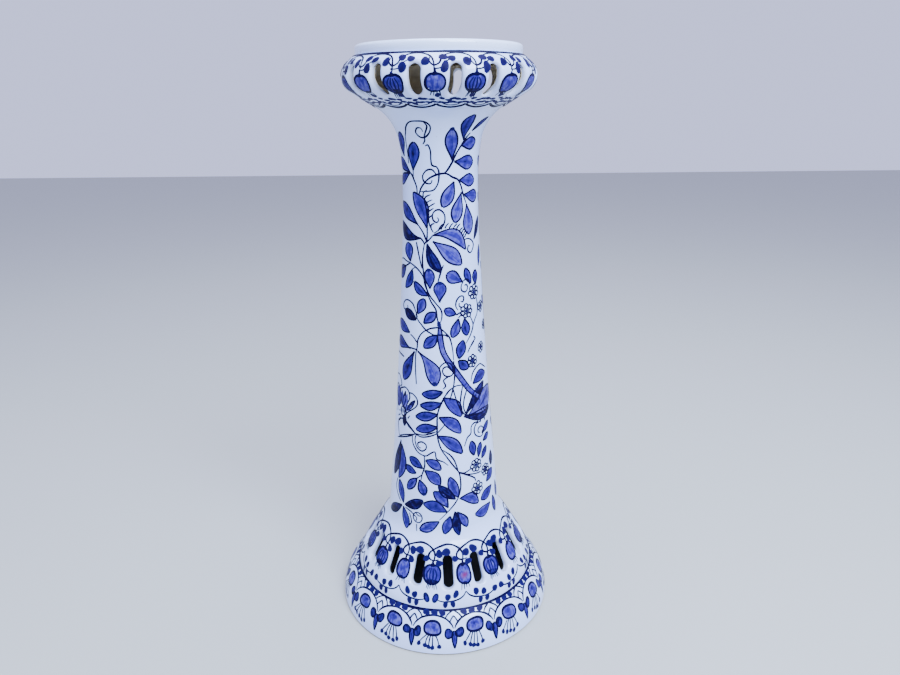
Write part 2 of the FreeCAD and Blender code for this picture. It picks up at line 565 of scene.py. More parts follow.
@dataclass
class PiercedSection:
    """A turned section with a ring of upright slots that have scooped edges.

    Args:
        name: name of the piece.
        node: frame node that it replaces.
        wall: outer profile and thickness.
        inner: inner profile.
        phase: angle of the first slot.
        low: height of the slots' lower ends.
        high: height of the slots' upper ends.
        width: width of the slots.
        drop: how much lower the slots come out inside.
        scoop: width of the scooped edge.
        scoop_depth: depth of the scooped edge.
        margin: height of the meshed band beyond the slots' ends.
        count: slots in the ring.
        pale: whether the inside is the pale clay rather than the near-black painted shade.
        columns: divisions across a slot's field.
        rows: divisions up a slot's field.
        rings: places of the rings across the scooped edge, from the slot outwards.
        edge_shade: how much painted shade greys the scooped edge, most at the slot's rim.
        reveal_shade: how much painted shade greys the slot's own faces.
    """

    name: str
    node: str
    wall: Wall
    inner: Wall
    phase: float
    low: float
    high: float
    width: float
    drop: float
    scoop: float
    scoop_depth: float
    margin: float
    count: int = 16
    pale: bool = False
    columns: int = 16
    rows: int = 22
    rings: tuple[float, ...] = (0.0, 0.06, 0.16, 0.30, 0.48, 0.72, 1.0)
    edge_shade: float = 0.55
    reveal_shade: float = 0.3

    def __post_init__(self) -> None:
        """Works out the band that the slots' fields cover."""
        self.band = (self.low - self.margin, self.high + self.margin)
        self.middle = (self.band[0] + self.band[1]) / 2
        self.half_band = (self.band[1] - self.band[0]) / 2
        self.sector = 360 / self.count

    def border(self, half: float, straight: float) -> list[tuple[Vector, Vector, Vector]]:
        """Corners round a slot's field, each with its partner on the slot's own edge.

        Args:
            half: half width of the slot.
            straight: half length of its straight sides.

        Returns:
            Share across and up of the field, from -1 to 1, the partner's place in
            millimetres from the slot's centre, and the direction away from the slot.
        """
        corners = []
        reach = straight + half * math.pi / 4
        for side, count in ((0, self.columns), (1, self.rows), (2, self.columns),
                            (3, self.rows)):
            for number in range(count):
                share = -1 + 2 * number / count
                if side in (0, 2):
                    away = unit(-90 + 45 * share)
                    rim = Vector((0, -straight)) + away * half
                    corner = Vector((share, -1.0))
                else:
                    run = reach * share
                    over = max(0.0, abs(run) - straight) / half * (1 if run > 0 else -1)
                    away = Vector((math.cos(over), math.sin(over)))
                    rim = Vector((0, max(-straight, min(straight, run)))) + away * half
                    corner = Vector((1.0, share))
                if side > 1:
                    corner, rim, away = -corner, -rim, -away
                corners.append((corner, rim, away))
        return corners

    def build(self, palette: Palette, draws: random.Random) -> bpy.types.Object:
        """Builds the section as one closed shell.

        Args:
            palette: finishes.
            draws: seeded random numbers.

        Returns:
            The piece.
        """
        shell = Shell()
        for number in range(self.count):
            self.slot_field(shell, self.phase + number * self.sector, draws)
        for points, inside in self.plain_bands():
            self.plain_band(shell, points, inside)
        # the dome's lining is the near-black painted shade, the gallery's the pale clay
        lining = palette.hollow if self.pale else palette.inside
        piece = shell.build(self.name, [palette.white, lining], Slot.PAINTED,
                            (self.node,), own_normals=False)
        self.weld(piece)
        return piece

    def slot_field(self, shell: Shell, centre: float, draws: random.Random) -> None:
        """Adds one slot with the wall round it, outside, through and inside.

        Args:
            shell: mesh under construction.
            centre: angle of the slot.
            draws: seeded random numbers.
        """
        half = self.width / 2 * draws.uniform(0.95, 1.05)
        lean_over = draws.uniform(-0.035, 0.035)
        shift = draws.uniform(-0.5, 0.5)
        low = self.low + draws.uniform(-0.8, 0.8)
        high = self.high + draws.uniform(-0.8, 0.8)
        slot_middle = (low + high) / 2
        stretch = self.wall.along(slot_middle)
        straight = (high - low) / 2 * stretch - half
        scoop = self.scoop * draws.uniform(0.9, 1.15)
        outer, inner, through = [], [], []
        for corner, rim, away in self.border(half, straight):
            rim = Vector((rim.x + shift + lean_over * rim.y, rim.y))
            breadth = scoop * (0.45 + 0.55 * abs(away.x))
            depth = self.scoop_depth * (0.6 + 0.4 * abs(away.x))
            column = [(rim + away * (breadth * share),
                       depth * (1 - math.sqrt(max(0.0, 1 - (1 - share) ** 2))))
                      for share in self.rings]
            field_height = self.middle + self.half_band * corner.y
            field_turn = corner.x * self.sector / 2
            corner = Vector((field_turn * self.wall.across(field_height),
                             (field_height - slot_middle) * stretch))
            column += [(column[-1][0].lerp(corner, share), 0.0) for share in (0.35, 0.7)]
            line = []
            for position, (spot, fall) in enumerate(column):
                height = slot_middle + spot.y / stretch
                angle = centre + spot.x / self.wall.across(height)
                # painted shade on the scooped edge, darkest at the slot's rim
                tone = self.edge_shade * max(0.0, 1 - position / 4) ** 1.5
                line.append(shell.add(self.wall.face(angle, height, -fall), tone=tone))
            line.append(shell.add(self.wall.face(centre + field_turn, field_height)))
            outer.append(line)
            hole_height = slot_middle + rim.y / stretch - self.drop
            hole_turn = rim.x / self.inner.across(hole_height)
            inner.append([])
            for share in (0.0, 0.12, 0.4, 0.7, 1.0):
                angle = centre + hole_turn + (field_turn - hole_turn) * share
                height = hole_height + (field_height - hole_height) * share
                inner[-1].append(shell.add(self.inner.face(angle, height)))
            start, end = shell.points[line[0]], shell.points[inner[-1][0]]
            # painted shade on the slot's own faces
            through.append([shell.add(start.lerp(end, share), tone=self.reveal_shade)
                            for share in (0.34, 0.67)])
        for number in range(len(outer)):
            following = (number + 1) % len(outer)
            for ring in range(len(outer[0]) - 1):
                shell.skin((outer[number][ring + 1], outer[following][ring + 1],
                            outer[following][ring], outer[number][ring]))
            for ring in range(len(inner[0]) - 1):
                shell.skin((inner[number][ring], inner[following][ring],
                            inner[following][ring + 1], inner[number][ring + 1]), 1)
            chain = [outer[number][0], *through[number], inner[number][0]]
            next_chain = [outer[following][0], *through[following], inner[following][0]]
            for step in range(3):
                shell.skin((chain[step], next_chain[step], next_chain[step + 1],
                            chain[step + 1]), 0 if step < 2 else 1)

    def plain_bands(self) -> list[tuple[list[Vector], bool]]:
        """Profiles of the plain walls above and below the slots' band."""
        band_low, band_high = self.band
        walls = []
        for wall in (self.wall, self.inner):
            low = [point for point in wall.outline if point.y < band_low - 0.2]
            low.append(Vector((wall.radius(band_low), band_low)))
            high = [Vector((wall.radius(band_high), band_high))]
            high += [point for point in wall.outline if point.y > band_high + 0.2]
            walls += [low, high]
        lower, upper, inner_low, inner_high = walls
        foot = [inner_low[0], lower[0]]
        head = [upper[-1], inner_high[-1]]
        return [(lower, False), (upper, False), (inner_low, True), (inner_high, True),
                (foot, False), (head, False)]

    def plain_band(self, shell: Shell, points: list[Vector], inside: bool) -> None:
        """Turns one plain profile in the same columns as the slots' fields.

        Args:
            shell: mesh under construction.
            points: the profile, heights rising.
            inside: whether it faces the hollow.
        """
        total = self.columns * self.count
        start = self.phase - self.sector / 2
        rings = []
        for point in points:
            ring = []
            for column in range(total):
                angle = start + 360 * column / total
                ring.append(shell.add(round_axis(point.x, angle, point.y)))
            rings.append(ring)
        for low, high in zip(rings, rings[1:]):
            for column in range(total):
                following = (column + 1) % total
                face = (low[column], low[following], high[following], high[column])
                shell.skin(tuple(reversed(face)) if inside else face, int(inside))

    def weld(self, piece: bpy.types.Object) -> None:
        """Joins the fields and bands into one closed mesh with sharp section ends."""
        work = bmesh.new()
        work.from_mesh(piece.data)
        bmesh.ops.remove_doubles(work, verts=work.verts, dist=0.004 * MM)
        bmesh.ops.recalc_face_normals(work, faces=work.faces)
        open_edges = [edge for edge in work.edges if len(edge.link_faces) != 2]
        log.info("%s: open edges %d", self.name, len(open_edges))
        for edge in work.edges:
            if len(edge.link_faces) == 2 and edge.calc_face_angle() > math.radians(50):
                edge.smooth = False
        work.to_mesh(piece.data)
        work.free()


@dataclass
class Stand:
    """The whole stand: its driving sizes, its sections and its walls."""

    foot_radius: float = 152.8
    foot_edge_height: float = 2.5
    foot_edge_inset: float = 1.2
    skirt_height: float = 54.0
    skirt_wall: float = 9.0
    ledge_radius: float = 127.4
    dome_height: float = 92.0
    dome_foot_rise: float = 26.0
    dome_foot_draw: float = 10.0
    dome_top_rise: float = 30.0
    dome_slope: float = 60.0
    shoulder_radius: float = 79.6
    shaft_height: float = 544.5
    waist_radius: float = 47.2
    neck_height: float = 78.5
    neck_radius: float = 75.5
    crease_step: float = 0.8
    gallery_height: float = 58.1
    gallery_rise: float = 35.5
    gallery_radius: float = 116.2
    gallery_top_radius: float = 100.0
    wall: float = 8.0
    shelf_thickness: float = 8.0
    shelf_bore_radius: float = 84.0
    shelf_draw: float = 4.5
    plate_radius: float = 92.0
    plate_thickness: float = 8.0
    plate_rebate: float = 3.5
    plate_gap: float = 0.3
    rim_radius: float = 98.7
    rim_height: float = 11.4
    chords: int = 18

    def __post_init__(self) -> None:
        """Works out the seam heights and the walls."""
        self.z_ledge = self.skirt_height
        self.z_shoulder = self.z_ledge + self.dome_height
        self.z_crease = self.z_shoulder + self.shaft_height
        self.z_waist = self.z_crease - self.neck_height
        self.z_girth = self.z_crease + self.gallery_rise
        self.z_rim = self.z_crease + self.gallery_height
        self.z_top = self.z_rim + self.rim_height
        self.z_plate = self.z_rim - self.plate_rebate
        skirt = [Vector((self.foot_radius - self.foot_edge_inset, 0.0))]
        skirt += two_bends((self.foot_radius, self.foot_edge_height), 93,
                           (self.ledge_radius, self.z_ledge), 143, 1.0, self.chords)
        self.skirt_face = Wall(skirt, self.skirt_wall)
        band_foot = Vector((self.ledge_radius - self.dome_foot_draw,
                            self.z_ledge + self.dome_foot_rise))
        band_rise = self.dome_height - self.dome_foot_rise - self.dome_top_rise
        draw = band_rise / math.tan(math.radians(self.dome_slope))
        band_top = band_foot + Vector((-draw, band_rise))
        dome = two_bends((self.ledge_radius, self.z_ledge), 92, tuple(band_foot),
                         180 - self.dome_slope, 1.0, self.chords // 2)
        dome += two_bends(tuple(band_top), 180 - self.dome_slope,
                          (self.shoulder_radius, self.z_shoulder), 100, 1.0, self.chords // 2)
        self.dome_face = Wall(dome, self.wall)
        shaft = two_bends((self.shoulder_radius, self.z_shoulder), 95.8,
                          (self.waist_radius, self.z_waist), 90, 0.2, 16)
        shaft += two_bends((self.waist_radius, self.z_waist), 90,
                           (self.neck_radius, self.z_crease), 33, 1.2, self.chords)[1:]
        self.shaft_face = Wall(shaft, self.wall)
        self.body_face = Wall(dome + shaft[1:], self.wall)
        gallery = two_bends((self.neck_radius + self.crease_step, self.z_crease), 31,
                            (self.gallery_radius, self.z_girth), 90, 0.6, self.chords)
        gallery += two_bends((self.gallery_radius, self.z_girth), 90,
                             (self.gallery_top_radius, self.z_rim), 143, 0.8,
                             self.chords)[1:]
        self.gallery_face = Wall(gallery, self.wall)

    def build_skirt(self, palette: Palette) -> None:
        """Builds the flared foot ring, bare where it stands on the floor."""
        outline = self.skirt_face.outline
        inner = self.skirt_face.inset([0.0, 14.0, 27.0, 40.0, 54.0])
        finishes = [2] + [0] * (len(outline) - 2) + [1] * len(inner) + [2]
        # the inner faces take the near-black inside finish, which is painted shade
        turned(outline + inner[::-1], finishes, 256).build(
            "foot_skirt", [palette.white, palette.inside, palette.bare], Slot.PAINTED,
            ("base_skirt",))

    def build_dome(self, palette: Palette, draws: random.Random) -> None:
        """Builds the pierced dome."""
        low, top = self.dome_face.inset([self.z_ledge, self.z_shoulder])
        inner = Wall([low.lerp(top, share / 6) for share in range(7)])
        PiercedSection("pierced_dome_body", "pierced_dome", self.dome_face, inner, phase=2.2,
                       low=79.0, high=116.4, width=14.4, drop=3.5, scoop=5.2, scoop_depth=5.4,
                       margin=9.0).build(palette, draws)

    def build_shaft(self, palette: Palette) -> None:
        """Builds the tapering shaft and its trumpet neck."""
        outline = self.shaft_face.outline
        inner = self.shaft_face.inset([self.z_shoulder, 260, 418, 520, self.z_waist, 640, 664,
                                       680, self.z_crease])
        finishes = [0] * (len(outline) - 1) + [1] * (len(inner) + 1)
        # the inner faces take the near-black inside finish, which is painted shade
        turned(outline + inner[::-1], finishes, 192).build(
            "shaft_body", [palette.white, palette.inside], Slot.PAINTED, ("shaft",))

    def build_gallery(self, palette: Palette, draws: random.Random) -> None:
        """Builds the pierced gallery and the shelf inside its top."""
        shelf = self.z_rim - self.shelf_thickness
        bore = self.plate_radius + self.plate_gap
        inner = self.gallery_face.inset([self.z_crease, 696, 702, 708, 715, 722, 729, 736])
        inner += [Vector((inner[-1].x - self.shelf_draw, shelf)),
                  Vector((self.shelf_bore_radius, shelf + 0.01)),
                  Vector((self.shelf_bore_radius, self.z_plate)),
                  Vector((bore, self.z_plate + 0.01)), Vector((bore, self.z_rim))]
        PiercedSection("pierced_gallery_body", "pierced_gallery", self.gallery_face,
                       Wall(inner), phase=8.8, low=702.6, high=738.0, width=13.6, drop=-1.2,
                       scoop=5.0, scoop_depth=4.6, margin=4.0, pale=True,
                       rows=20).build(palette, draws)

    def build_seat(self, palette: Palette) -> None:
        """Builds the seat plate and the plain rim round it."""
        top = self.z_plate + self.plate_thickness
        edge = 0.8
        plate = [Vector((0.01, self.z_plate)), Vector((self.plate_radius, self.z_plate)),
                 Vector((self.plate_radius, top - edge)),
                 Vector((self.plate_radius - edge, top))]
        for share in range(1, 10):
            plate.append(Vector(((self.plate_radius - edge) * (1 - share / 10), top)))
        plate.append(Vector((0.01, top)))
        # the plate's underside takes the near-black inside finish, which is painted shade
        turned(plate, [1] + [0] * (len(plate) - 2) + [1], 128).build(
            "seat_plate_disc", [palette.plain, palette.inside], Slot.PLAIN, ("seat_plate",))
        bore = self.plate_radius + self.plate_gap
        lip = 4.0
        rim = [Vector((bore, self.z_rim)), Vector((self.rim_radius - 0.6, self.z_rim)),
               Vector((self.rim_radius, self.z_rim + 0.8)),
               Vector((self.rim_radius, self.z_top - lip))]
        rim += arc_points(rim[-1], unit(90), Vector((self.rim_radius - lip, self.z_top)), 8)
        rim += arc_points(rim[-1] - Vector((0.2, 0)), unit(180),
                          Vector((bore, self.z_top - 1.8)), 5)
        turned(rim, [0] * len(rim), 192).build("rim_ring_body", [palette.plain], Slot.PLAIN,
                                               ("rim_ring",))


# Brushwork

def eased(points: Path, steps: int = 6, closed: bool = False) -> Path:
    """Smooth curve through the given points (Catmull-Rom).

    Args:
        points: angle and height pairs to pass through.
        steps: parts between each two.
        closed: whether the curve ends where it starts.

    Returns:
        The denser path.
    """
    count = len(points)
    if count < 3:
        return list(points)
    path = []
    spans = count if closed else count - 1
    for number in range(spans):
        if closed:
            near = [points[(number + offset) % count] for offset in (-1, 0, 1, 2)]
        else:
            near = [points[min(max(number + offset, 0), count - 1)] for offset in (-1, 0, 1, 2)]
        for step in range(steps):
            share = step / steps
            place = []
            for axis in (0, 1):
                before, here, there, after = (item[axis] for item in near)
                place.append(0.5 * (2 * here + (there - before) * share
                                    + (2 * before - 5 * here + 4 * there - after) * share ** 2
                                    + (3 * here - before - 3 * there + after) * share ** 3))
            path.append(tuple(place))
    if not closed:
        path.append(tuple(points[-1]))
    return path


@dataclass
class Brush:
    """Paints strokes, washes and dots on one wall as thin fired layers.

    Args:
        wall: the wall that is painted.
        draws: seeded random numbers.
        facing: angle round the stand where the brush's own zero lies.
        way: 1, or -1 to paint the design turned over.
        weight: how heavy its lines are.
        washes: the washes laid so far.
        lines: the lines laid so far.
        sink: how deep the paint reaches under the glaze, in millimetres.
        stack: height step between strokes that follow each other.
        order: number of strokes laid so far.
    """

    wall: Wall
    draws: random.Random
    facing: float = 0.0
    way: int = 1
    weight: float = 1.0
    washes: Shell = field(default_factory=Shell)
    lines: Shell = field(default_factory=Shell)
    sink: float = 0.16
    stack: float = 0.003
    order: int = 0

    def stray(self, limit: float) -> float:
        """Random amount up to a limit, either way."""
        return self.draws.uniform(-limit, limit)

    def rise(self, lift: float) -> float:
        """Height of the next stroke on a layer, so that crossing strokes don't coincide."""
        self.order += 1
        return lift + (self.order % 9) * self.stack

    def to_mm(self, start: Pair, end: Pair) -> Vector:
        """Step between two places, in millimetres across and up the wall."""
        height = (start[1] + end[1]) / 2
        return Vector(((end[0] - start[0]) * self.wall.across(height),
                       (end[1] - start[1]) * self.wall.along(height)))

    def moved(self, place: Pair, step: Pair | Vector) -> Pair:
        """A place moved by millimetres across and up the wall."""
        across, up = Vector(step)
        return (place[0] + across / self.wall.across(place[1]),
                place[1] + up / self.wall.along(place[1]))

    def spot(self, shell: Shell, place: Pair, lift: float, tone: float, grain: Triple,
             blush: float = 0.0) -> int:
        """Adds a painted point over the wall, or sunk in it, and returns its number."""
        angle = self.facing + self.way * place[0]
        return shell.add(self.wall.face(angle, place[1], lift),
                         self.wall.normal(angle, place[1]), tone, grain, blush)

    def lay(self, shell: Shell, rows: list[Path], tones: list[list[float]], lift: float,
            grain_scale: Pair) -> None:
        """Lays a closed slab over a grid of places.

        Args:
            shell: mesh that takes the slab.
            rows: places in rows along the stroke.
            tones: paint load at each place.
            lift: height of the top over the glaze.
            grain_scale: brush grain along and across.
        """
        seed = self.draws.uniform(0, 90)
        lift = self.rise(lift)
        tops, bottoms = [], []
        wide = len(rows[0])
        for number, row in enumerate(rows):
            top, bottom = [], []
            for column, place in enumerate(row):
                tone = tones[number][column]
                grain = (seed + number / len(rows) * grain_scale[0],
                         column / max(wide - 1, 1) * grain_scale[1], seed)
                top.append(self.spot(shell, place, lift, tone, grain))
                bottom.append(self.spot(shell, place, -self.sink, tone, grain))
            tops.append(top)
            bottoms.append(bottom)
        for number in range(len(rows) - 1):
            for column in range(wide - 1):
                shell.skin((tops[number][column], tops[number][column + 1],
                            tops[number + 1][column + 1], tops[number + 1][column]))
                shell.skin((bottoms[number + 1][column], bottoms[number + 1][column + 1],
                            bottoms[number][column + 1], bottoms[number][column]))
        border = [(0, column) for column in range(wide)]
        border += [(number, wide - 1) for number in range(1, len(rows))]
        border += [(len(rows) - 1, column) for column in range(wide - 2, -1, -1)]
        border += [(number, 0) for number in range(len(rows) - 2, 0, -1)]
        for here, there in zip(border, border[1:] + border[:1]):
            shell.skin((tops[here[0]][here[1]], bottoms[here[0]][here[1]],
                        bottoms[there[0]][there[1]], tops[there[0]][there[1]]))

    def stroke(self, path: Path, width: float = 1.2, taper: Pair = (0.5, 0.35),
               tone: float = 1.0, smooth: bool = True, layer: Layer = Layer.LINE,
               wash: bool = False) -> None:
        """Paints one brush line.

        Args:
            path: places to pass through.
            width: full width of the line.
            taper: share of the width at the start and at the end.
            tone: paint load.
            smooth: ease the path.
            layer: layer of the line.
            wash: put it among the washes.
        """
        if smooth:
            path = eased(path)
        count = len(path)
        phase = self.draws.uniform(0, 6.28)
        rows, tones = [], []
        for number, place in enumerate(path):
            before = path[max(number - 1, 0)]
            after = path[min(number + 1, count - 1)]
            heading = self.to_mm(before, after)
            if heading.length < 1e-6:
                continue
            side = Vector((-heading.y, heading.x)).normalized()
            share = number / (count - 1)
            ends = min(1.0, taper[0] + (1 - taper[0]) * min(1, share * 5))
            ends = min(ends, taper[1] + (1 - taper[1]) * min(1, (1 - share) * 5))
            half = width / 2 * ends * (1 + 0.12 * math.sin(phase + number * 0.33))
            half *= 1.0 if wash else self.weight
            spread = (1, 0.5, 0, -0.5, -1) if width > 4 else (1, -1)
            rows.append([self.moved(place, side * (half * share)) for share in spread])
            tones.append([tone] * len(spread))
        shell = self.washes if wash else self.lines
        self.lay(shell, rows, tones, layer.value, (4.0, 0.6))

    def dot(self, place: Pair, wide: float, high: float = 0.0, turn: float = 0.0,
            tone: float = 0.92) -> None:
        """Paints one rounded dab.

        Args:
            place: its centre.
            wide: width in millimetres.
            high: height in millimetres, or 0 for as wide as high.
            turn: angle that it is turned by, in degrees.
            tone: paint load.
        """
        high = (high or wide) * self.weight
        self.patch(place, wide * self.weight / 2, high / 2, turn, tone, tone * 0.94, power=2.0,
                   layer=Layer.DOT, dark=True, wobble=0.10,
                   rings=max(1, round(max(wide, high) / 3.2)))

    def patch(self, place: Pair, half_wide: float, half_high: float, turn: float,
              tone: float, rim_tone: float, power: float = 2.0, layer: Layer = Layer.WASH,
              dark: bool = False, wobble: float = 0.03, rings: int = 3,
              outline: float = 0.0, sides: int = 0, blush: float = 0.0) -> None:
        """Fills a rounded shape, darker or lighter towards its edge.

        Args:
            place: its centre.
            half_wide: half width in millimetres.
            half_high: half height in millimetres.
            turn: angle that it is turned by, in degrees.
            tone: paint load at the centre.
            rim_tone: paint load at the edge.
            power: 2 for an oval, more for a squarer shape.
            layer: layer of the fill.
            dark: put it among the lines.
            wobble: unevenness of its edge.
            rings: rings between centre and edge.
            outline: width of an outline, or 0 for none.
            sides: points round the edge, or 0 to choose by size.
            blush: how much of the ripe colour its middle has.
        """
        sides = sides or (12 if dark else 28)
        phase = [self.draws.uniform(0, 6.28) for _ in range(2)]
        tilt = math.radians(turn)
        edge = []
        for number in range(sides):
            way = 2 * math.pi * number / sides
            cosine, sine = math.cos(way), math.sin(way)
            reach = (abs(cosine) ** power + abs(sine) ** power) ** (-1 / power)
            reach *= 1 + wobble * math.sin(2 * way + phase[0]) \
                + wobble * 0.6 * math.sin(3 * way + phase[1])
            across, up = half_wide * reach * cosine, half_high * reach * sine
            edge.append(Vector((across * math.cos(tilt) - up * math.sin(tilt),
                                across * math.sin(tilt) + up * math.cos(tilt))))
        shell = self.lines if dark else self.washes
        lift = self.rise(layer.value)
        seed = self.draws.uniform(0, 90)
        loops, bottom = [], []
        for ring in range(1, rings + 1):
            share = ring / rings
            load = tone + (rim_tone - tone) * share ** 2
            top = []
            for step in edge:
                spot = self.moved(place, step * share)
                grain = (seed + step.x * share * 0.45, step.y * share * 0.10, seed)
                top.append(self.spot(shell, spot, lift, load, grain,
                                     blush * (1 - share ** 1.5)))
                if ring == rings:
                    bottom.append(self.spot(shell, spot, -self.sink, load, grain))
            loops.append(top)
        centre = self.spot(shell, place, lift, tone, (seed, 0, seed), blush)
        floor = self.spot(shell, place, -self.sink, tone, (seed, 0, seed))
        for number in range(sides):
            following = (number + 1) % sides
            shell.skin((centre, loops[0][number], loops[0][following]))
            for low, high in zip(loops, loops[1:]):
                shell.skin((low[number], high[number], high[following], low[following]))
            shell.skin((loops[-1][number], bottom[number], bottom[following],
                        loops[-1][following]))
            shell.skin((floor, bottom[following], bottom[number]))
        if outline:
            border = [self.moved(place, step) for step in edge]
            self.stroke(border + [border[0]], outline, (0.8, 0.8), 1.0, smooth=False)

    def leaf(self, base: Pair, tip: Pair, width: float, bend: float = 0.0,
             tone: Tone = MID, outline: float = 1.0, fat: float = 0.5,
             blunt: float = 0.0, core: float = 0.30) -> None:
        """Paints one leaf: a wash with a darker heart and a thin outline.

        Args:
            base: where the leaf leaves its stem.
            tip: its point.
            width: greatest width in millimetres.
            bend: sideways bow of its middle, as a share of its length.
            tone: paint load of the wash.
            outline: width of the outline, or 0 for none.
            fat: where along it the leaf is widest.
            blunt: how rounded the tip is, from 0 to 1.
            core: how much darker the heart is.
        """
        run = self.to_mm(base, tip)
        side = Vector((-run.y, run.x)).normalized()
        length = run.length
        steps = max(11, min(18, int(length / 2.5)))
        spread = 5 if width < 9 else 7
        shape_power = math.log(0.5) / math.log(fat)
        left, right, rows, tones = [], [], [], []
        phase = self.draws.uniform(0, 6.28)
        for number in range(steps + 1):
            share = 0.5 - 0.5 * math.cos(math.pi * number / steps)
            bow = side * (bend * length * 4 * share * (1 - share))
            turn = share ** shape_power
            swell = math.sin(math.pi * turn)
            body = swell ** 0.85 if share < fat else swell ** (0.9 - 0.3 * blunt)
            half = width / 2 * max(body, 0.04) * (1 + 0.03 * math.sin(phase + 5 * share))
            spine = run * share + bow
            row, loads = [], []
            for column in range(spread):
                offset = -1 + 2 * column / (spread - 1)
                row.append(self.moved(base, spine + side * (half * offset)))
                heart = max(0.0, 1 - abs(offset) * 1.3) * math.sin(math.pi * share)
                load = tone.value + core * heart - 0.10 * abs(offset) * (1 - share)
                load += 0.16 * max(0.0, 0.25 - share) * 4
                loads.append(min(1.0, load))
            rows.append(row)
            tones.append(loads)
            left.append(row[0])
            right.append(row[-1])
        self.lay(self.washes, rows, tones, Layer.WASH.value, (2.2, 7.0))
        if outline:
            self.stroke(left, outline, (0.9, 0.9), 1.0, smooth=False)
            self.stroke(list(reversed(right)), outline, (0.9, 0.9), 1.0, smooth=False)

    def curl(self, centre: Pair, start: float, turns: float, outer: float, inner: float,
             width: float = 1.0) -> None:
        """Paints a spiral tendril.

        Args:
            centre: middle of the spiral.
            start: angle of its outer end, in degrees.
            turns: turns towards the middle, negative for clockwise.
            outer: outer radius in millimetres.
            inner: inner radius in millimetres.
            width: width of the line.
        """
        path = []
        steps = max(14, int(abs(turns) * 20))
        for number in range(steps + 1):
            share = number / steps
            way = math.radians(start + 360 * turns * share)
            reach = outer + (inner - outer) * share ** 0.8
            path.append(self.moved(centre, (reach * math.cos(way),
                                            reach * math.sin(way))))
        self.stroke(path, width, (0.7, 0.9), smooth=False)

    def ring(self, centre: Pair, half_wide: float, half_high: float, width: float) -> None:
        """Paints an open round outline.

        Args:
            centre: its middle.
            half_wide: half width in millimetres.
            half_high: half height in millimetres.
            width: width of the line.
        """
        path = []
        for number in range(23):
            way = math.radians(100 + 360 * number / 21.5)
            path.append(self.moved(centre, (half_wide * math.cos(way),
                                            half_high * math.sin(way))))
        self.stroke(path, width, (0.7, 0.7), smooth=False)

    def bloom(self, centre: Pair, size: float, petals: int) -> None:
        """Paints a small open flower: outlined white petals round a dark star.

        Args:
            centre: its middle.
            size: its radius in millimetres.
            petals: how many petals it has.
        """
        phase = self.draws.uniform(0, 60)
        for number in range(petals):
            spread = self.draws.uniform(0.94, 1.06)
            out = unit(phase + 360 * number / petals)
            side = Vector((-out.y, out.x))
            half = size * math.sin(math.pi / petals) * 0.80
            path = [out * (size * 0.30) - side * (half * 0.45), out * (size * 0.62) - side * half,
                    out * (size * 0.92 * spread) - side * (half * 0.62),
                    out * (size * spread), out * (size * 0.92 * spread) + side * (half * 0.62),
                    out * (size * 0.62) + side * half, out * (size * 0.30) + side * (half * 0.45)]
            self.stroke([self.moved(centre, step) for step in path], 1.4, (0.8, 0.8))
            self.stroke([centre, self.moved(centre, out * (size * 0.56))], 2.0, (1.0, 0.3))
        self.dot(centre, size * 0.34)

    def hoop(self, height: float, sway: float, pace: float, width: float) -> None:
        """Paints a line right round the stand, swaying a little up and down."""
        self.stroke([(angle, height + sway * math.sin(angle / pace))
                     for angle in range(-180, 181, 3)], width, (1, 1), smooth=False)

    def comb(self, path: Path, count: int, reach: float, slant: float, width: float) -> None:
        """Paints a row of short bristles along a path.

        Args:
            path: where the bristles stand.
            count: how many.
            reach: their length in millimetres.
            slant: their direction in degrees from across to up.
            width: their width.
        """
        dense = eased(path, 12)
        for number in range(count):
            place = dense[int((len(dense) - 1) * number / max(count - 1, 1))]
            way = math.radians(slant + self.stray(7))
            size = reach * self.draws.uniform(0.8, 1.15)
            end = Vector((size * math.cos(way), size * math.sin(way)))
            middle = end * 0.5 + Vector((-end.y, end.x)) * 0.08
            self.stroke([place, self.moved(place, middle), self.moved(place, end)],
                        width, (1.0, 0.3))

    def leaves(self, rows: list[Frond], fat: float = 0.56, blunt: float = 0.45) -> None:
        """Paints leaves, each given by base, tip, width, tone and bend."""
        for base, tip, width, tone, bend in rows:
            self.leaf(base, tip, width, bend + self.stray(0.03), tone, 1.45,
                      fat + self.stray(0.03), blunt)

    def stems(self, paths: list[Path], width: float = 1.7) -> None:
        """Paints stems or tendrils through the given places."""
        for path in paths:
            self.stroke(path, width, (0.7, 0.6))

    def fire(self, name: str, palette: Palette) -> None:
        """Turns the strokes into pieces."""
        if self.washes.faces:
            self.washes.build(name + "_washes", [palette.wash], Slot.PAINTED, turn_out=True)
        if self.lines.faces:
            self.lines.build(name + "_linework", [palette.line], Slot.PAINTED, turn_out=True)


# Studio

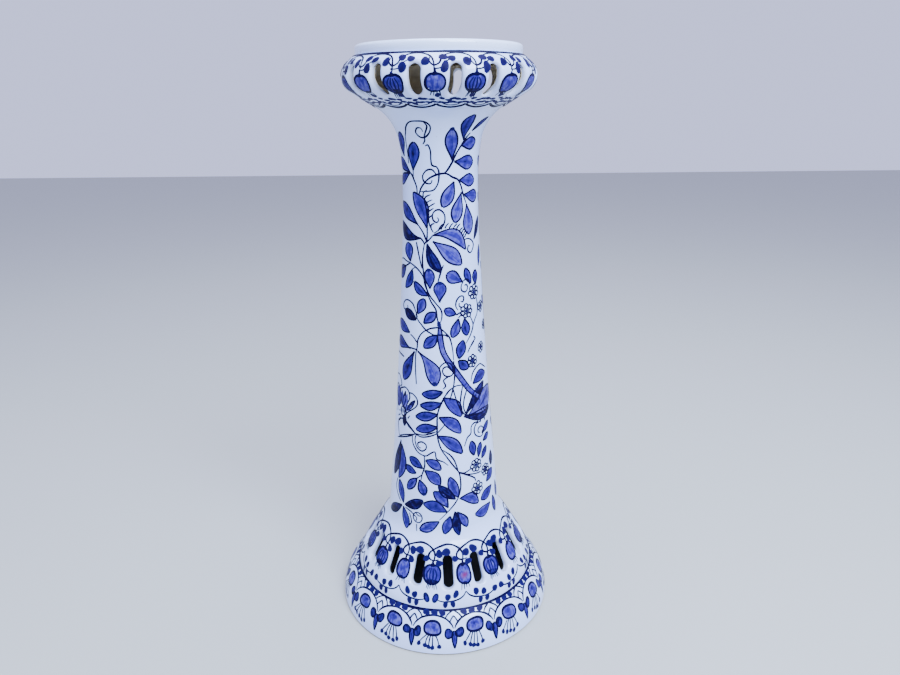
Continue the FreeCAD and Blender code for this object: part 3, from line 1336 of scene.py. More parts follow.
@dataclass
class Studio:
    """Camera at the photograph's angle, pale floor and soft lights.

    Lengths are metres from the stand's axis and the floor, and angles degrees.  The
    floor carries near-black painted shade inside the foot ring, up to shade_radius, and is
    pale from pale_radius on.
    """

    distance: float = 0.8629
    height: float = 0.6998
    pitch: float = 19.4
    roll: float = -0.46
    yaw: float = -0.70
    focal_share: float = 676 / 900
    sensor: float = 36.0
    half_floor: float = 6.0
    shade_radius: float = 0.142
    pale_radius: float = 0.148
    painted_shade_floor: Triple = (0.010, 0.010, 0.012)
    pale_floor: Triple = (0.43, 0.43, 0.41)
    aim_height: float = 0.38

    def set_camera(self) -> None:
        """Places the camera."""
        pitch, roll, yaw = (math.radians(value) for value in (self.pitch, self.roll, self.yaw))
        turn = Matrix(((math.cos(yaw), math.sin(yaw), 0), (-math.sin(yaw), math.cos(yaw), 0),
                       (0, 0, 1)))
        nod = Matrix(((1, 0, 0), (0, -math.sin(pitch), -math.cos(pitch)),
                      (0, math.cos(pitch), -math.sin(pitch))))
        tilt = Matrix(((math.cos(roll), -math.sin(roll), 0),
                       (math.sin(roll), math.cos(roll), 0), (0, 0, 1)))
        view = tilt @ nod @ turn
        right, down, ahead = view
        frame_axes = Matrix((right, -down, -ahead)).transposed().to_4x4()
        lens = bpy.data.cameras.new("camera")
        lens.sensor_width = self.sensor
        lens.lens = self.focal_share * self.sensor
        camera = bpy.data.objects.new("camera", lens)
        camera.matrix_world = Matrix.Translation((0, -self.distance, self.height)) @ frame_axes
        bpy.context.scene.collection.objects.link(camera)
        bpy.context.scene.camera = camera

    def lay_floor(self) -> None:
        """Lays the floor, with painted shade inside the foot ring where no light reaches it."""
        recipe = Recipe("floor_paint", {"Roughness": 0.7})
        reach = recipe.nodes.new("ShaderNodeVectorMath")
        reach.operation = "LENGTH"
        recipe.feed(reach, {0: recipe.place})
        # painted shade: the floor goes near black inside the foot ring
        paint = recipe.ramp(reach.outputs["Value"], [(self.shade_radius, self.painted_shade_floor),
                                                     (self.pale_radius, self.pale_floor)])
        mesh = bpy.data.meshes.new("floor")
        half = self.half_floor
        mesh.from_pydata([(-half, -half, 0), (half, -half, 0), (half, half, 0),
                          (-half, half, 0)], [], [(0, 1, 2, 3)])
        mesh.materials.append(recipe.finish(paint))
        floor = bpy.data.objects.new("floor", mesh)
        bpy.context.scene.collection.objects.link(floor)

    def hang_light(self, name: str, place: Triple, size: float,
                   power: float, colour: Triple) -> None:
        """Hangs one square soft light aimed at the stand's middle."""
        lamp = bpy.data.lights.new(name, "AREA")
        lamp.size = size
        lamp.energy = power
        lamp.color = colour
        light = bpy.data.objects.new(name, lamp)
        light.location = place
        aim = Vector((0, 0, self.aim_height)) - Vector(place)
        light.rotation_euler = aim.to_track_quat("-Z", "Y").to_euler()
        bpy.context.scene.collection.objects.link(light)

    def light(self) -> None:
        """Sets the lights and the sky."""
        world = bpy.data.worlds.new("sky")
        world.use_nodes = True
        sky = world.node_tree.nodes["Background"]
        sky.inputs["Color"].default_value = (0.60, 0.64, 1.0, 1)
        sky.inputs["Strength"].default_value = 1.4
        bpy.context.scene.world = world
        self.hang_light("key", (0.9, -1.5, 2.2), 1.5, 210, (0.66, 0.80, 1.0))
        self.hang_light("fill", (-1.9, -0.8, 1.4), 1.6, 18, (0.68, 0.76, 1.0))
        self.hang_light("top", (0.1, 0.3, 2.5), 1.4, 58, (0.74, 0.84, 1.0))


# Painting

def about(centre: float, *places: Pair) -> Path:
    """Places whose angles are counted from a centre line."""
    return [(centre + angle, height) for angle, height in places]


@dataclass
class FootPainting:
    """Arches, blooms with hanging stamens and drops round the foot."""

    stand: Stand
    repeats: int = 16
    bloom_phase: float = -6.75
    drop_phase: float = 4.5
    weight: float = 1.55
    ring_height: float = 53.0

    def paint(self, draws: random.Random, palette: Palette) -> None:
        """Paints the band round the foot.

        Args:
            draws: seeded random numbers.
            palette: finishes.
        """
        brush = Brush(self.stand.skirt_face, draws, weight=self.weight)
        step = 360 / self.repeats
        for number in range(self.repeats):
            self.bloom_and_arch(brush, self.bloom_phase + number * step)
            self.drop(brush, self.drop_phase + number * step)
        brush.hoop(self.ring_height, 0.25, 21, 2.3)
        brush.fire("foot", palette)

    def bloom_and_arch(self, brush: Brush, centre: float) -> None:
        """Paints one bloom, its stamens, the arch over it and the dots on the arch.

        Args:
            brush: the brush on the wall.
            centre: angle of its middle.
        """
        draws = brush.draws
        lift = draws.uniform(-0.8, 1.4)
        middle = centre + brush.stray(0.5)
        brush.patch((middle, 36 + lift), 11.2 * draws.uniform(0.92, 1.04),
                    8.4 * draws.uniform(0.94, 1.08), brush.stray(6), 0.44, 0.28,
                    power=2.5, wobble=0.04, outline=2.0, rings=4)
        brush.patch((middle + brush.stray(0.6), 38.2 + lift), 5.2, 3.2, 0, 0.72, 0.46,
                    layer=Layer.SHADE, rings=2, sides=16, wobble=0.2)
        for offset, low in ((-6.6, 17), (-4.0, 15.2), (-1.5, 13), (0.6, 12), (3.4, 15)):
            top = middle + offset * 0.45
            end = middle + offset + brush.stray(0.4)
            foot = low + brush.stray(0.8)
            brush.stroke([(top, 28.5 + lift), ((top * 0.45 + end * 0.55), 23), (end, foot)],
                         1.05, (0.9, 0.9))
            brush.dot((end, foot - 1.4), 3.7, 4.5)
        arch = about(centre, (-10.9, 35.5), (-9.8, 40.5), (-6.4, 46.2), (0, 48.9), (6.4, 46.2),
                     (9.8, 40.5), (10.9, 35.5))
        brush.stroke(arch, 1.65)
        for offset in (-4.8, 0.0, 4.8):
            brush.dot((centre + offset + brush.stray(0.3), 50.9), 6.0, 5.2)

    def drop(self, brush: Brush, centre: float) -> None:
        """Paints one three-lobed drop and the pointed arches over it.

        Args:
            brush: the brush on the wall.
            centre: angle of its middle.
        """
        draws = brush.draws
        for way in (-1, 1):
            lobe = draws.uniform(0.62, 0.84)
            brush.patch((centre + way * 2.9, 30.8 + brush.stray(1.0)), 5.0,
                        6.6 * draws.uniform(0.85, 1.05), -way * 24, lobe, lobe + 0.14,
                        wobble=0.10, outline=1.3, rings=3, sides=20)
        brush.leaf((centre, 33), (centre + brush.stray(0.3), 8.5), 6.6,
                   tone=DEEP, outline=1.3, fat=0.34, core=0.12)
        outer = about(centre, (-4.9, 45.8), (-3.3, 49.6), (-1.0, 52.2), (0, 52.8), (1.0, 52.2),
                      (3.3, 49.6), (4.9, 45.8))
        brush.stroke(outer, 1.4, (0.8, 0.8))
        inner = about(centre, (-2.3, 41.5), (-1.5, 45.0), (0, 48.4))
        brush.stroke(inner, 1.3, (0.6, 0.9))
        brush.stroke([(2 * centre - angle, height) for angle, height in inner], 1.3, (0.6, 0.9))


def pomegranate(brush: Brush, centre: Pair, half_wide: float, half_high: float,
                kind: int, stalk: Pair, turn: float = 0.0) -> None:
    """Paints one pomegranate with its stalk, crown and hanging stamens.

    Args:
        brush: the brush on the wall.
        centre: middle of the fruit.
        half_wide: half width in millimetres.
        half_high: half height in millimetres.
        kind: 0 for a striped fruit, 1 for a pale one, 2 for one with a ripe spot.
        stalk: place where the stalk begins.
        turn: lean of the fruit, in degrees.
    """
    draws = brush.draws

    def at(across: float, up: float) -> Pair:
        """Place on the fruit, in half widths and half heights from its middle."""
        return brush.moved(centre, (half_wide * across, half_high * up))

    tone = (0.44, 0.34, 0.34)[kind]
    brush.patch(centre, half_wide, half_high, turn, tone, tone + 0.16, power=2.35,
                wobble=0.035, outline=1.9, rings=4)
    brush.leaf(at(0, 0.72), brush.moved(centre, (0, half_high + 4.2)), half_wide * 0.62,
               tone=DARK, outline=0.0, fat=0.22, core=0.0)
    brush.stroke([stalk, brush.moved(centre, (0, half_high + 1.0))], 2.3, (0.6, 1.0))
    if kind == 0:
        for bow in (-0.52, -0.22, 0.10, 0.42):
            brush.stroke([at(bow * 0.55, 0.62), at(bow * 1.25, 0), at(bow * 0.95, -0.62)],
                         1.25, (0.5, 1.0), 0.92)
        brush.patch(at(0, -0.72), half_wide * 0.62, half_high * 0.28, 0, 0.98, 0.92,
                    layer=Layer.SHADE, rings=2, sides=16, wobble=0.18)
    else:
        for offset in (-0.5, 0.35):
            brush.patch(at(offset * 0.7, draws.uniform(-0.2, 0.3)), half_wide * 0.3,
                        half_high * 0.5, offset * 20, tone + 0.22, tone + 0.05,
                        layer=Layer.SHADE, rings=3, sides=16, wobble=0.15)
        brush.patch(at(0, -0.9), half_wide * 0.3, half_high * 0.16, 0, 0.95, 0.9,
                    layer=Layer.SHADE, rings=1, sides=12)
    if kind == 2:
        brush.patch(at(0.05, -0.15), half_wide * 0.72, half_high * 0.42, 12, 0.30, 0.40,
                    layer=Layer.SHADE, rings=3, sides=18, wobble=0.12, blush=0.85)
    bristles = 6 if kind == 0 else 4
    for number in range(bristles):
        share = -1 + 2 * number / (bristles - 1)
        end = brush.moved(centre, (share * half_wide * 0.62 + brush.stray(1),
                                   -half_high * draws.uniform(1.36, 1.62)))
        brush.stroke([at(share * 0.42, -0.88), end], 1.2, (1.0, 0.5))


@dataclass
class DomePainting:
    """Pomegranates between the slots, arches over them and garlands under them."""

    stand: Stand
    phase: float = -9.05
    weight: float = 1.55
    kinds: tuple[int, ...] = (0, 2, 0, 1, 0, 1, 0, 1, 0, 1, 1, 0, 1, 0, 0, 1)

    def paint(self, draws: random.Random, palette: Palette) -> None:
        """Paints the dome.

        Args:
            draws: seeded random numbers.
            palette: finishes.
        """
        brush = Brush(self.stand.dome_face, draws, weight=self.weight)
        step = 360 / len(self.kinds)
        for number, kind in enumerate(self.kinds):
            centre = self.phase + number * step
            fruit = centre + brush.stray(0.6)
            pomegranate(brush, (fruit, 94.6 + brush.stray(0.8)),
                        (11.4 if kind == 0 else 9.9) * draws.uniform(0.95, 1.03),
                        12.6 * draws.uniform(0.95, 1.04), kind, (fruit, 110.5),
                        brush.stray(4))
            self.arch(brush, centre, step)
            self.garland(brush, centre, number)
        brush.fire("dome", palette)

    def arch(self, brush: Brush, centre: float, step: float) -> None:
        """Paints the arch that springs from one fruit's stalk and falls to the next.

        Args:
            brush: the brush on the wall.
            centre: angle of the fruit.
            step: angle to the next fruit.
        """
        path = about(centre, (4.2, 111.6), (1.2, 110.6), (-2.0, 111.2), (-4.0, 114.4),
                     (-3.4, 118.6), (-0.6, 122.3), (4.5, 126.0), (10.2, 128.4), (15.0, 127.9),
                     (19.4, 125.2), (step, 121.0), (step + 1.1, 115.5), (step + 0.2, 108.6))
        brush.stroke(path, 1.75, (0.5, 0.8))
        middle = centre + step / 2
        for offset, height, wide, high in ((-7.0, 118.0, 6.4, 7.2), (-0.8, 120.2, 7.8, 7.0),
                                           (-17.0, 112.0, 5.0, 5.6), (-6.6, 107.4, 6.4, 5.6)):
            brush.dot((middle + offset + brush.stray(0.4), height), wide, high,
                      brush.stray(20))

    def garland(self, brush: Brush, centre: float, number: int) -> None:
        """Paints the garland under one slot.

        Args:
            brush: the brush on the wall.
            centre: angle of the fruit beside it.
            number: its place in the row.
        """
        way = 1 if number % 2 else -1
        middle = centre + 11.25

        def at(offset: float, height: float) -> Pair:
            """Place on the garland, turned over for every other slot."""
            return (middle + way * offset, height)

        brush.stroke([at(-11.2, 74.5), at(-9.2, 69.6), at(-5.5, 66.0), at(0.0, 64.2),
                      at(4.5, 64.6), at(8.0, 67.0)], 1.35, (0.7, 0.6))
        if number % 3:
            brush.dot(at(8.6, 68.0), 5.4, 6.4, -way * 25)
        else:
            brush.patch(at(8.4, 68.2), 3.6, 6.4, way * 22, 0.72, 0.95, outline=0.8, rings=2,
                        sides=16)
        brush.dot(at(-4.6, 72.2 + brush.stray(0.5)), 5.0, 7.0, way * 15)
        brush.dot(at(0.6, 69.8 + brush.stray(0.5)), 5.0, 6.4)
        brush.dot(at(-2.4, 60.9), 4.6, 6.4)
        brush.dot(at(2.2, 60.6), 4.6, 6.4)


@dataclass
class GalleryPainting:
    """Pomegranates between the gallery's slots, scrolls, berries and scallops."""

    stand: Stand
    phase: float = -2.45
    weight: float = 1.4
    kinds: tuple[int, ...] = (1, 0, 1, 1, 0, 1, 0, 1, 1, 0, 1, 0, 1, 0, 1, 0)

    def paint(self, draws: random.Random, palette: Palette) -> None:
        """Paints the gallery.

        Args:
            draws: seeded random numbers.
            palette: finishes.
        """
        brush = Brush(self.stand.gallery_face, draws, weight=self.weight)
        step = 360 / len(self.kinds)
        for number, kind in enumerate(self.kinds):
            centre = self.phase + number * step
            fruit = centre + brush.stray(0.5)
            pomegranate(brush, (fruit, 716.2 + brush.stray(0.6)),
                        10.9 * draws.uniform(0.95, 1.03), 10.6 * draws.uniform(0.95, 1.04),
                        kind, (fruit - 0.1, 731.0), brush.stray(4))
            brush.dot((fruit + 1.0, 704.4), 4.6, 5.4)
            self.scroll(brush, centre, step)
            self.scallops(brush, centre, step)
        brush.hoop(self.stand.z_rim - 1.5, 0.12, 15, 2.6)
        brush.fire("gallery", palette)

    def scroll(self, brush: Brush, centre: float, step: float) -> None:
        """Paints one scroll with its berries.

        Args:
            brush: the brush on the wall.
            centre: angle of the fruit.
            step: angle to the next fruit.
        """
        path = about(centre, (-2.6, 741.5), (-2.5, 737.0), (-0.2, 733.4), (2.6, 735.6),
                     (4.0, 740.6), (7.0, 744.4), (12.4, 745.7), (17.6, 744.6), (20.8, 741.4),
                     (step - 0.3, 736.0), (step, 728.0))
        brush.stroke(path, 1.5, (0.5, 0.8))
        for offset, height, wide, high, turn in (
                (-4.7, 737.4, 6.2, 8.6, -12), (4.6, 741.4, 6.6, 6.8, 20),
                (9.6, 740.2, 6.4, 6.0, 50), (5.6, 731.8, 6.6, 8.8, -8)):
            brush.dot((centre + offset + brush.stray(0.3), height), wide, high,
                      turn + brush.stray(12), 0.95)
        brush.stroke(about(centre, (0.4, 730.0), (2.6, 730.4), (4.6, 732.0)), 1.1)
        brush.stroke(about(centre, (4.6, 735.0), (6.6, 737.4), (8.8, 739.4)), 0.9)

    def scallops(self, brush: Brush, centre: float, step: float) -> None:
        """Paints the dashes and the scalloped garlands along the crease.

        Args:
            brush: the brush on the wall.
            centre: angle of the fruit.
            step: angle to the next fruit.
        """
        for offset, height in ((-7.4, 700.6), (-3.0, 700.2), (4.0, 701.2), (8.6, 699.6),
                               (12.2, 700.8), (-9.6, 697.6), (-5.4, 697.0), (-1.2, 697.8),
                               (3.2, 697.2), (6.6, 696.4), (10.4, 697.4)):
            brush.dot((centre + offset + brush.stray(0.5),
                       height + brush.stray(0.3)), 5.6, 2.9, brush.stray(22))
        brush.stroke(about(centre, (0, 695.6), (3.4, 693.4), (step / 2, 692.0), (step - 3.4, 693.4),
                           (step, 695.6)), 2.6, (0.8, 0.8))
        brush.stroke(about(centre, (2.6, 698.4), (6.2, 695.2), (step / 2, 694.2),
                           (step - 6.2, 695.2), (step - 2.6, 698.4)), 1.2, (0.8, 0.8))


@dataclass
class ShaftPainting:
    """Leafy sprays, tendrils and small flowers that climb the shaft."""

    stand: Stand
    tendril: float = 1.45
    weight: float = 1.42

    def paint(self, draws: random.Random, palette: Palette) -> None:
        """Paints the front and, turned over, the back.

        Args:
            draws: seeded random numbers.
            palette: finishes.
        """
        for name, facing, way in (("shaft_front", 0.0, 1), ("shaft_back", 180.0, -1)):
            brush = Brush(self.stand.body_face, draws, facing, way, self.weight)
            self.neck_spray(brush)
            self.great_fan(brush)
            self.middle_sprays(brush)
            self.flower_spray(brush)
            self.banded_stalk(brush)
            self.ladder_spray(brush)
            self.side_flowers(brush)
            self.lower_left(brush)
            self.lower_right(brush)
            if way == 1:
                self.edge_vine(brush)
            brush.fire(name, palette)

    def neck_spray(self, brush: Brush) -> None:
        """Spray of drop leaves on the right of the neck, curls on its left."""
        brush.leaves([
            ((17, 633), (15, 668), 14.5, MID, 0), ((44, 665), (63, 679), 5.5, DEEP, 0),
            ((33, 655), (37, 681), 13, DEEP, 0.1), ((30, 649), (56, 653), 14.5, MID, 0),
            ((20, 631), (55, 629), 16.5, MID, 0), ((28, 609), (60, 607), 14.5, MID, 0),
            ((35, 592), (68, 588), 15.5, MID, 0), ((-43, 620), (-37, 653), 17, DEEP, 0),
            ((-62, 636), (-62, 664), 16, DEEP, 0.1), ((20, 608), (3, 578), 15, LIGHT, 0),
            ((-50, 618), (-84, 632), 13, DEEP, 0), ((-50, 617), (-84, 603), 12, DEEP, 0),
            ((32, 595), (21, 559), 14.5, LIGHT, 0), ((41, 580), (45, 543), 16, LIGHT, 0)], 0.62, 0.7)
        brush.dot((15, 668), 4.2, 3.4)
        brush.stems([
            [(-33, 592), (-30, 599), (-24, 606), (-16, 612), (-6, 616), (3, 617.5), (10, 617),
             (18, 613), (26, 610), (31, 603), (34, 595), (36, 590), (41, 580)],
            [(4, 617), (10, 621), (17, 630), (23, 640), (29, 648), (36, 657), (42, 663)],
            [(-50, 618), (-45, 614), (-41, 608), (-37, 601), (-36, 592)], [(-43, 613), (-43, 620)],
            [(17, 630), (17, 634)]])
        brush.stems([
            [(-52, 628), (-52, 655), (-48, 664), (-43, 671), (-35, 676), (-25, 677), (-16, 676),
             (-11, 671), (-13, 664), (-19, 659), (-26, 659), (-31, 664), (-28, 669), (-23, 669),
             (-21, 665)], [(-18, 676), (-15, 672), (-16, 668), (-20, 660), (-20, 655), (-23, 651)],
            [(-20, 649), (-16, 650), (-13, 643), (-13, 634), (-12, 628), (-9, 626), (-5, 625),
             (-2, 620), (-2, 612), (-4, 605), (-9, 599), (-16, 597), (-30, 596)],
            [(-6, 617), (-12, 622), (-20, 621), (-26, 615), (-25, 609), (-20, 606), (-14, 606),
             (-12, 610)]], self.tendril)

    def great_fan(self, brush: Brush) -> None:
        """Two fans of long leaves that part in the upper middle, with bristled backs."""
        brush.leaves([
            ((-21, 553), (-44, 595), 18, MID, -0.06), ((-35, 556), (-80, 580), 16, DEEP, 0),
            ((-30, 540), (-82, 556), 16, DARK, 0.10), ((-12, 544), (37, 525), 15, LIGHT, 0.22),
            ((-12, 537), (29, 507), 18, LIGHT, 0.05), ((-20, 534), (-1, 499), 13, DARK, -0.10),
            ((56, 535), (75, 562), 10, DARK, 0)], 0.60, 0.35)
        brush.stems([
            [(-24, 585), (-20, 570), (-20, 553), (-20, 545), (-21, 538), (-24, 533)],
            [(-35, 556), (-28, 549), (-24, 543), (-22, 538)], [(-30, 540), (-26, 536), (-24, 533)],
            [(-22, 535), (-16, 540), (-12, 544)]], 1.5)
        brush.stems([
            [(-19, 575), (-18, 565), (-16, 556), (-11, 548)],
            [(-10, 547), (-3, 551), (3, 556), (6, 563), (5, 570), (-1, 575), (-8, 574), (-12, 569),
             (-11, 563), (-6, 560), (-3, 563), (-5, 566)],
            [(35, 537), (42, 538), (50, 535), (54, 529), (50, 522), (45, 520), (41, 524), (43, 529),
             (46, 528)]], self.tendril)
        for start, end in (((-26, 590), (-20, 598)), ((-24, 585), (-14, 593)),
                           ((-22, 578), (-12, 587)), ((-20, 571), (-8, 583)),
                           ((-19, 566), (-10, 577)), ((-18, 560), (-11, 569)),
                           ((-14, 553), (-9, 559))):
            middle = ((start[0] * 2 + end[0]) / 3 - 1.5, (start[1] + end[1]) / 2 + 1.0)
            brush.stroke([start, middle, end], 1.25, (1.0, 0.4))
        brush.comb([(-4, 550), (8, 553), (20, 550), (30, 545), (36, 540)], 10, 9.5, 52, 1.25)

    def middle_sprays(self, brush: Brush) -> None:
        """Leaves and stems between the fans and the flower spray."""
        brush.leaves([
            ((-49, 509), (-57, 532), 17, MID, 0), ((-16, 478), (-18, 503), 13.5, MID, 0),
            ((-3, 461), (-2, 487), 15.5, MID, 0), ((31, 485), (7, 497), 16, MID, 0)], 0.64, 0.95)
        brush.leaves([
            ((-45, 500), (-60, 474), 12, DEEP, 0.1), ((-60, 502), (-86, 485), 16, DEEP, 0),
            ((-18, 469), (-41, 485), 11.5, DEEP, 0.1), ((45, 481), (35, 502), 10, DEEP, 0),
            ((55, 478), (55, 497), 11, DEEP, 0), ((-34, 444), (-24, 465), 12.5, MID, 0),
            ((-25, 433), (-8, 448), 12.5, MID, 0), ((-36, 436), (-60, 445), 13.5, DARK, 0),
            ((19, 445), (3, 452), 11, MID, 0), ((22, 439), (13, 415), 12, MID, 0.05),
            ((31, 438), (34, 415), 12.5, DEEP, 0), ((-47, 417), (-80, 426), 15, DEEP, 0),
            ((-6, 419), (-24, 401), 13.5, DEEP, 0), ((66, 500), (73, 526), 8, DEEP, 0)])
        brush.dot((-2, 485.5), 4.4, 3.2)
        brush.dot((-18, 501.5), 4.0, 3.0)
        brush.stems([
            [(-80, 508), (-70, 510), (-60, 508.5), (-48, 507), (-40, 504), (-33, 500), (-27, 494),
             (-23, 485), (-18, 472), (-8, 460), (-2, 453), (0, 447), (-1, 438), (-5, 432)],
            [(-80, 494), (-65, 500), (-50, 507)], [(-45, 500), (-38, 504)],
            [(-24, 535), (-27, 520), (-27, 508), (-25, 495), (-24, 485), (-21, 478), (-18, 471)],
            [(-38, 535), (-35, 525), (-31, 512), (-28, 503)],
            [(-21, 474), (-14, 461), (-8, 452), (-6, 440), (-4, 431)],
            [(3, 508), (0, 502), (-2, 496), (-5, 487)],
            [(31, 486), (36, 488), (40, 486), (42, 480)]], 1.5)
        brush.stems([
            [(31, 485), (28, 481), (28, 475), (33, 472), (37, 474), (38, 479), (35, 481),
             (33, 480)],
            [(-34, 440), (-38, 448), (-43, 456), (-52, 459), (-60, 457), (-65, 451), (-63, 446),
             (-57, 446), (-53, 449), (-54, 452)]], self.tendril)
        brush.stems([
            [(-37, 444), (-34, 437), (-28, 431), (-22, 425), (-15, 421), (-10, 419), (3, 419),
             (7, 416)],
            [(-34, 350), (-36, 372), (-36, 390), (-34, 400), (-33, 410), (-28, 419), (-20, 425),
             (-12, 428), (-3, 428), (5, 421), (10, 414), (13, 400), (14, 385)],
            [(-46, 415), (-40, 412), (-34, 406)], [(-34, 452), (-36, 440)]], 1.5)

    def flower_spray(self, brush: Brush) -> None:
        """Small flowers and stems on the right of the middle."""
        for centre, size, petals in (((50, 469), 9.5, 7), ((35, 447), 9.0, 7), ((66, 447), 7.5, 6),
                                     ((60, 393), 7.0, 6), ((41, 379), 8.5, 7), ((75, 420), 6.5, 6)):
            brush.bloom(centre, size, petals)
        brush.stems([
            [(22, 450), (19, 455), (20, 462), (25, 467), (30, 467), (31, 463), (29, 460),
             (26, 461)], [(24, 459), (24, 455), (28, 452)], [(22, 440), (26, 443), (28, 445)],
            [(19, 444), (24, 446), (28, 447)],
            [(40, 440), (44, 432), (45, 425), (40, 415), (32, 405)],
            [(55, 462), (57, 450), (55, 440), (50, 434), (45, 426)],
            [(40, 401), (44, 405), (48, 408), (45, 412)],
            [(34, 392), (37, 397), (41, 401), (46, 405)]], self.tendril)

    def banded_stalk(self, brush: Brush) -> None:
        """Thick banded stalk that falls to the bell flower on the right."""
        path = [(-3, 432), (-3, 425), (-2.5, 415), (0, 400), (4, 390), (10, 380), (18, 367),
                (26, 354), (34, 342), (44, 331), (52, 325)]
        brush.stroke(path, 6.4, (0.25, 1.0), 0.36, wash=True, layer=Layer.WASH)
        dense = eased(path, 4)
        for side in (-1, 1):
            edge = []
            for number, place in enumerate(dense):
                before, after = dense[max(number - 1, 0)], dense[min(number + 1, len(dense) - 1)]
                run = brush.to_mm(before, after)
                swell = 3.2 * min(1.0, 0.25 + number / 10)
                edge.append(brush.moved(place, Vector((-run.y, run.x)).normalized()
                                        * (side * swell)))
            brush.stroke(edge, 1.45, (0.8, 0.8), smooth=False)
        for start, end in (((1, 393.5), (6.5, 395)), ((26.5, 347.5), (31, 352)),
                           ((29, 344), (33.5, 348.5)), ((14, 367), (19, 371))):
            brush.stroke([start, end], 1.2)
        brush.dot((-4, 433), 4.0, 5.5)

    def ladder_spray(self, brush: Brush) -> None:
        """Great drop leaves and the spray with a ladder of leaves below them."""
        brush.leaves([
            ((-33, 395), (-9, 351), 19, LIGHT, 0.10), ((-38, 394), (-57, 350), 17, DEEP, 0),
            ((-45, 396), (-80, 400), 16, DEEP, 0)], 0.66, 0.8)
        brush.dot((-10, 353.5), 5.0, 4.4)
        brush.patch((-12.5, 362), 4.6, 5.4, 0, 0.62, 0.40, layer=Layer.SHADE, sides=16)
        brush.leaves([
            ((21, 386), (28, 410), 13, DEEP, 0), ((20, 384), (34, 371), 12.5, DEEP, 0),
            ((40, 348), (68, 355), 15, DEEP, 0.1), ((0, 343), (-26, 338), 12.5, DEEP, 0.05),
            ((-1, 328), (-28, 322), 12, DEEP, 0.05), ((-6, 312), (-34, 305), 12.5, DEEP, 0),
            ((-6, 294), (-33, 287), 12.5, DEEP, 0), ((0, 335), (21, 307), 16, MID, 0.10),
            ((-5, 308), (20, 284), 16, MID, 0.10), ((-6, 282), (21, 255), 15.5, MID, 0.08)], 0.54, 0.5)
        brush.stems([
            [(25, 350), (16, 350), (8, 345), (5, 341), (3, 338), (1, 334), (-3, 325), (-6, 315),
             (-7, 305), (-7, 295), (-7, 285), (-6, 275), (-4, 268)],
            [(-80, 382), (-68, 382), (-58, 381)], [(-47, 397), (-38, 397), (-33, 396)]], 1.6)
        brush.stems([
            [(11, 371), (8, 375), (5, 377), (1, 375), (0, 370), (3, 365), (8, 364), (12, 366),
             (13, 371), (12, 378), (8, 382), (2, 382), (-3, 377), (-4, 371)],
            [(8, 364), (3, 361), (1, 358), (3, 353), (3, 350), (0, 347)],
            [(14, 384), (15, 370), (14, 356), (12, 345), (8, 331)],
            [(12, 349), (15, 335), (19, 322), (22, 313), (24, 309)],
            [(25, 350), (22, 335), (21, 320), (26, 309), (29, 307)],
            [(30, 342), (26, 330), (25, 318), (29, 307)],
            [(37, 352), (40, 362), (46, 368), (55, 371), (63, 366), (70, 361)]], self.tendril)

    def side_flowers(self, brush: Brush) -> None:
        """Fan flower on the left and bell flower on the right, at mid height."""
        brush.patch((-69, 322), 9.0, 15.0, 0, 0.44, 0.60, sides=22)
        brush.leaf((-56, 309), (-48, 332), 11.0, 0.0, LIGHT, 0.0)
        brush.leaf((-52, 308), (-40, 318), 8.0, 0.0, LIGHT, 0.0)
        brush.leaf((-57, 310), (-60, 334), 9.0, 0.0, MID, 0.0)
        brush.stems([
            [(-50, 305), (-60, 318), (-64, 333), (-58, 338), (-52, 340), (-46, 336), (-44, 328),
             (-48, 318), (-53, 307)],
            [(-46, 334), (-44, 335), (-39, 335), (-33, 330), (-32, 322), (-37, 315), (-44, 309),
             (-50, 303)], [(-70, 300), (-75, 318), (-78, 334), (-72, 338), (-66, 334)],
            [(-80, 350), (-70, 352), (-63, 345), (-62, 340), (-66, 337)]], 1.5)
        for base, tip, width in (((-56, 311), (-52, 335), 6.0), ((-48, 309), (-35, 327), 6.0),
                                 ((-62, 312), (-67, 334), 5.4), ((-66, 308), (-78, 326), 5.4)):
            brush.leaf(base, tip, width, 0.0, DARK, 1.0)
        brush.ring((-55, 305), 6.4, 6.8, 1.7)
        brush.leaf((-52, 302), (-52, 285), 8.5, 0.0, DARK, 1.2)
        for offset in (-1, 0, 1):
            brush.dot((-56 + offset * 3.5, 305.5 - abs(offset)), 2.0, 5.5)
        for start, end in (((-62, 298), (-68, 293)), ((-63, 303), (-72, 300)),
                           ((-60, 294), (-64, 287)), ((-46, 298), (-43, 303))):
            brush.stroke([start, end], 1.8, (1, 0.5))
        brush.stems([
            [(-50, 296), (-46, 289), (-40, 285), (-33, 280), (-25, 278), (-15, 281), (-8, 285),
             (-3, 291), (1, 297)], [(-33, 281), (-24, 281), (-16, 284), (-8, 288)],
            [(-52, 296), (-66, 287), (-62, 266)], [(-52, 296), (-44, 290), (-33, 280)],
            [(-62, 266), (-48, 274), (-33, 280)], [(-66, 262), (-48, 271), (-36, 278)]], 1.45)
        brush.leaf((30, 306), (84, 328), 32, 0.0, LIGHT, 1.4, 0.62, 0.9)
        brush.leaf((25, 305), (62, 345), 14.5, 0.04, DARK, 1.4, 0.66, 0.6)
        brush.leaf((25, 306), (74, 303), 14.5, -0.06, DARK, 1.4, 0.58, 0.6)
        brush.stroke([(28, 307), (39, 320)], 3.4, (0.8, 0.5), 0.93)
        for start, end in (((44, 330), (38, 334)), ((48, 336), (43, 341)), ((50, 298), (49, 290)),
                           ((57, 297), (58, 289)), ((40, 322), (35, 323))):
            brush.stroke([start, end], 4.0, (1.0, 0.3), 0.95)
        for offset in (0, 1, 2):
            brush.stroke([(46 + offset * 4, 310 + offset * 3), (56 + offset * 5, 316 + offset * 5),
                          (70, 322 + offset * 5)], 1.1, (0.6, 0.6), 0.85)
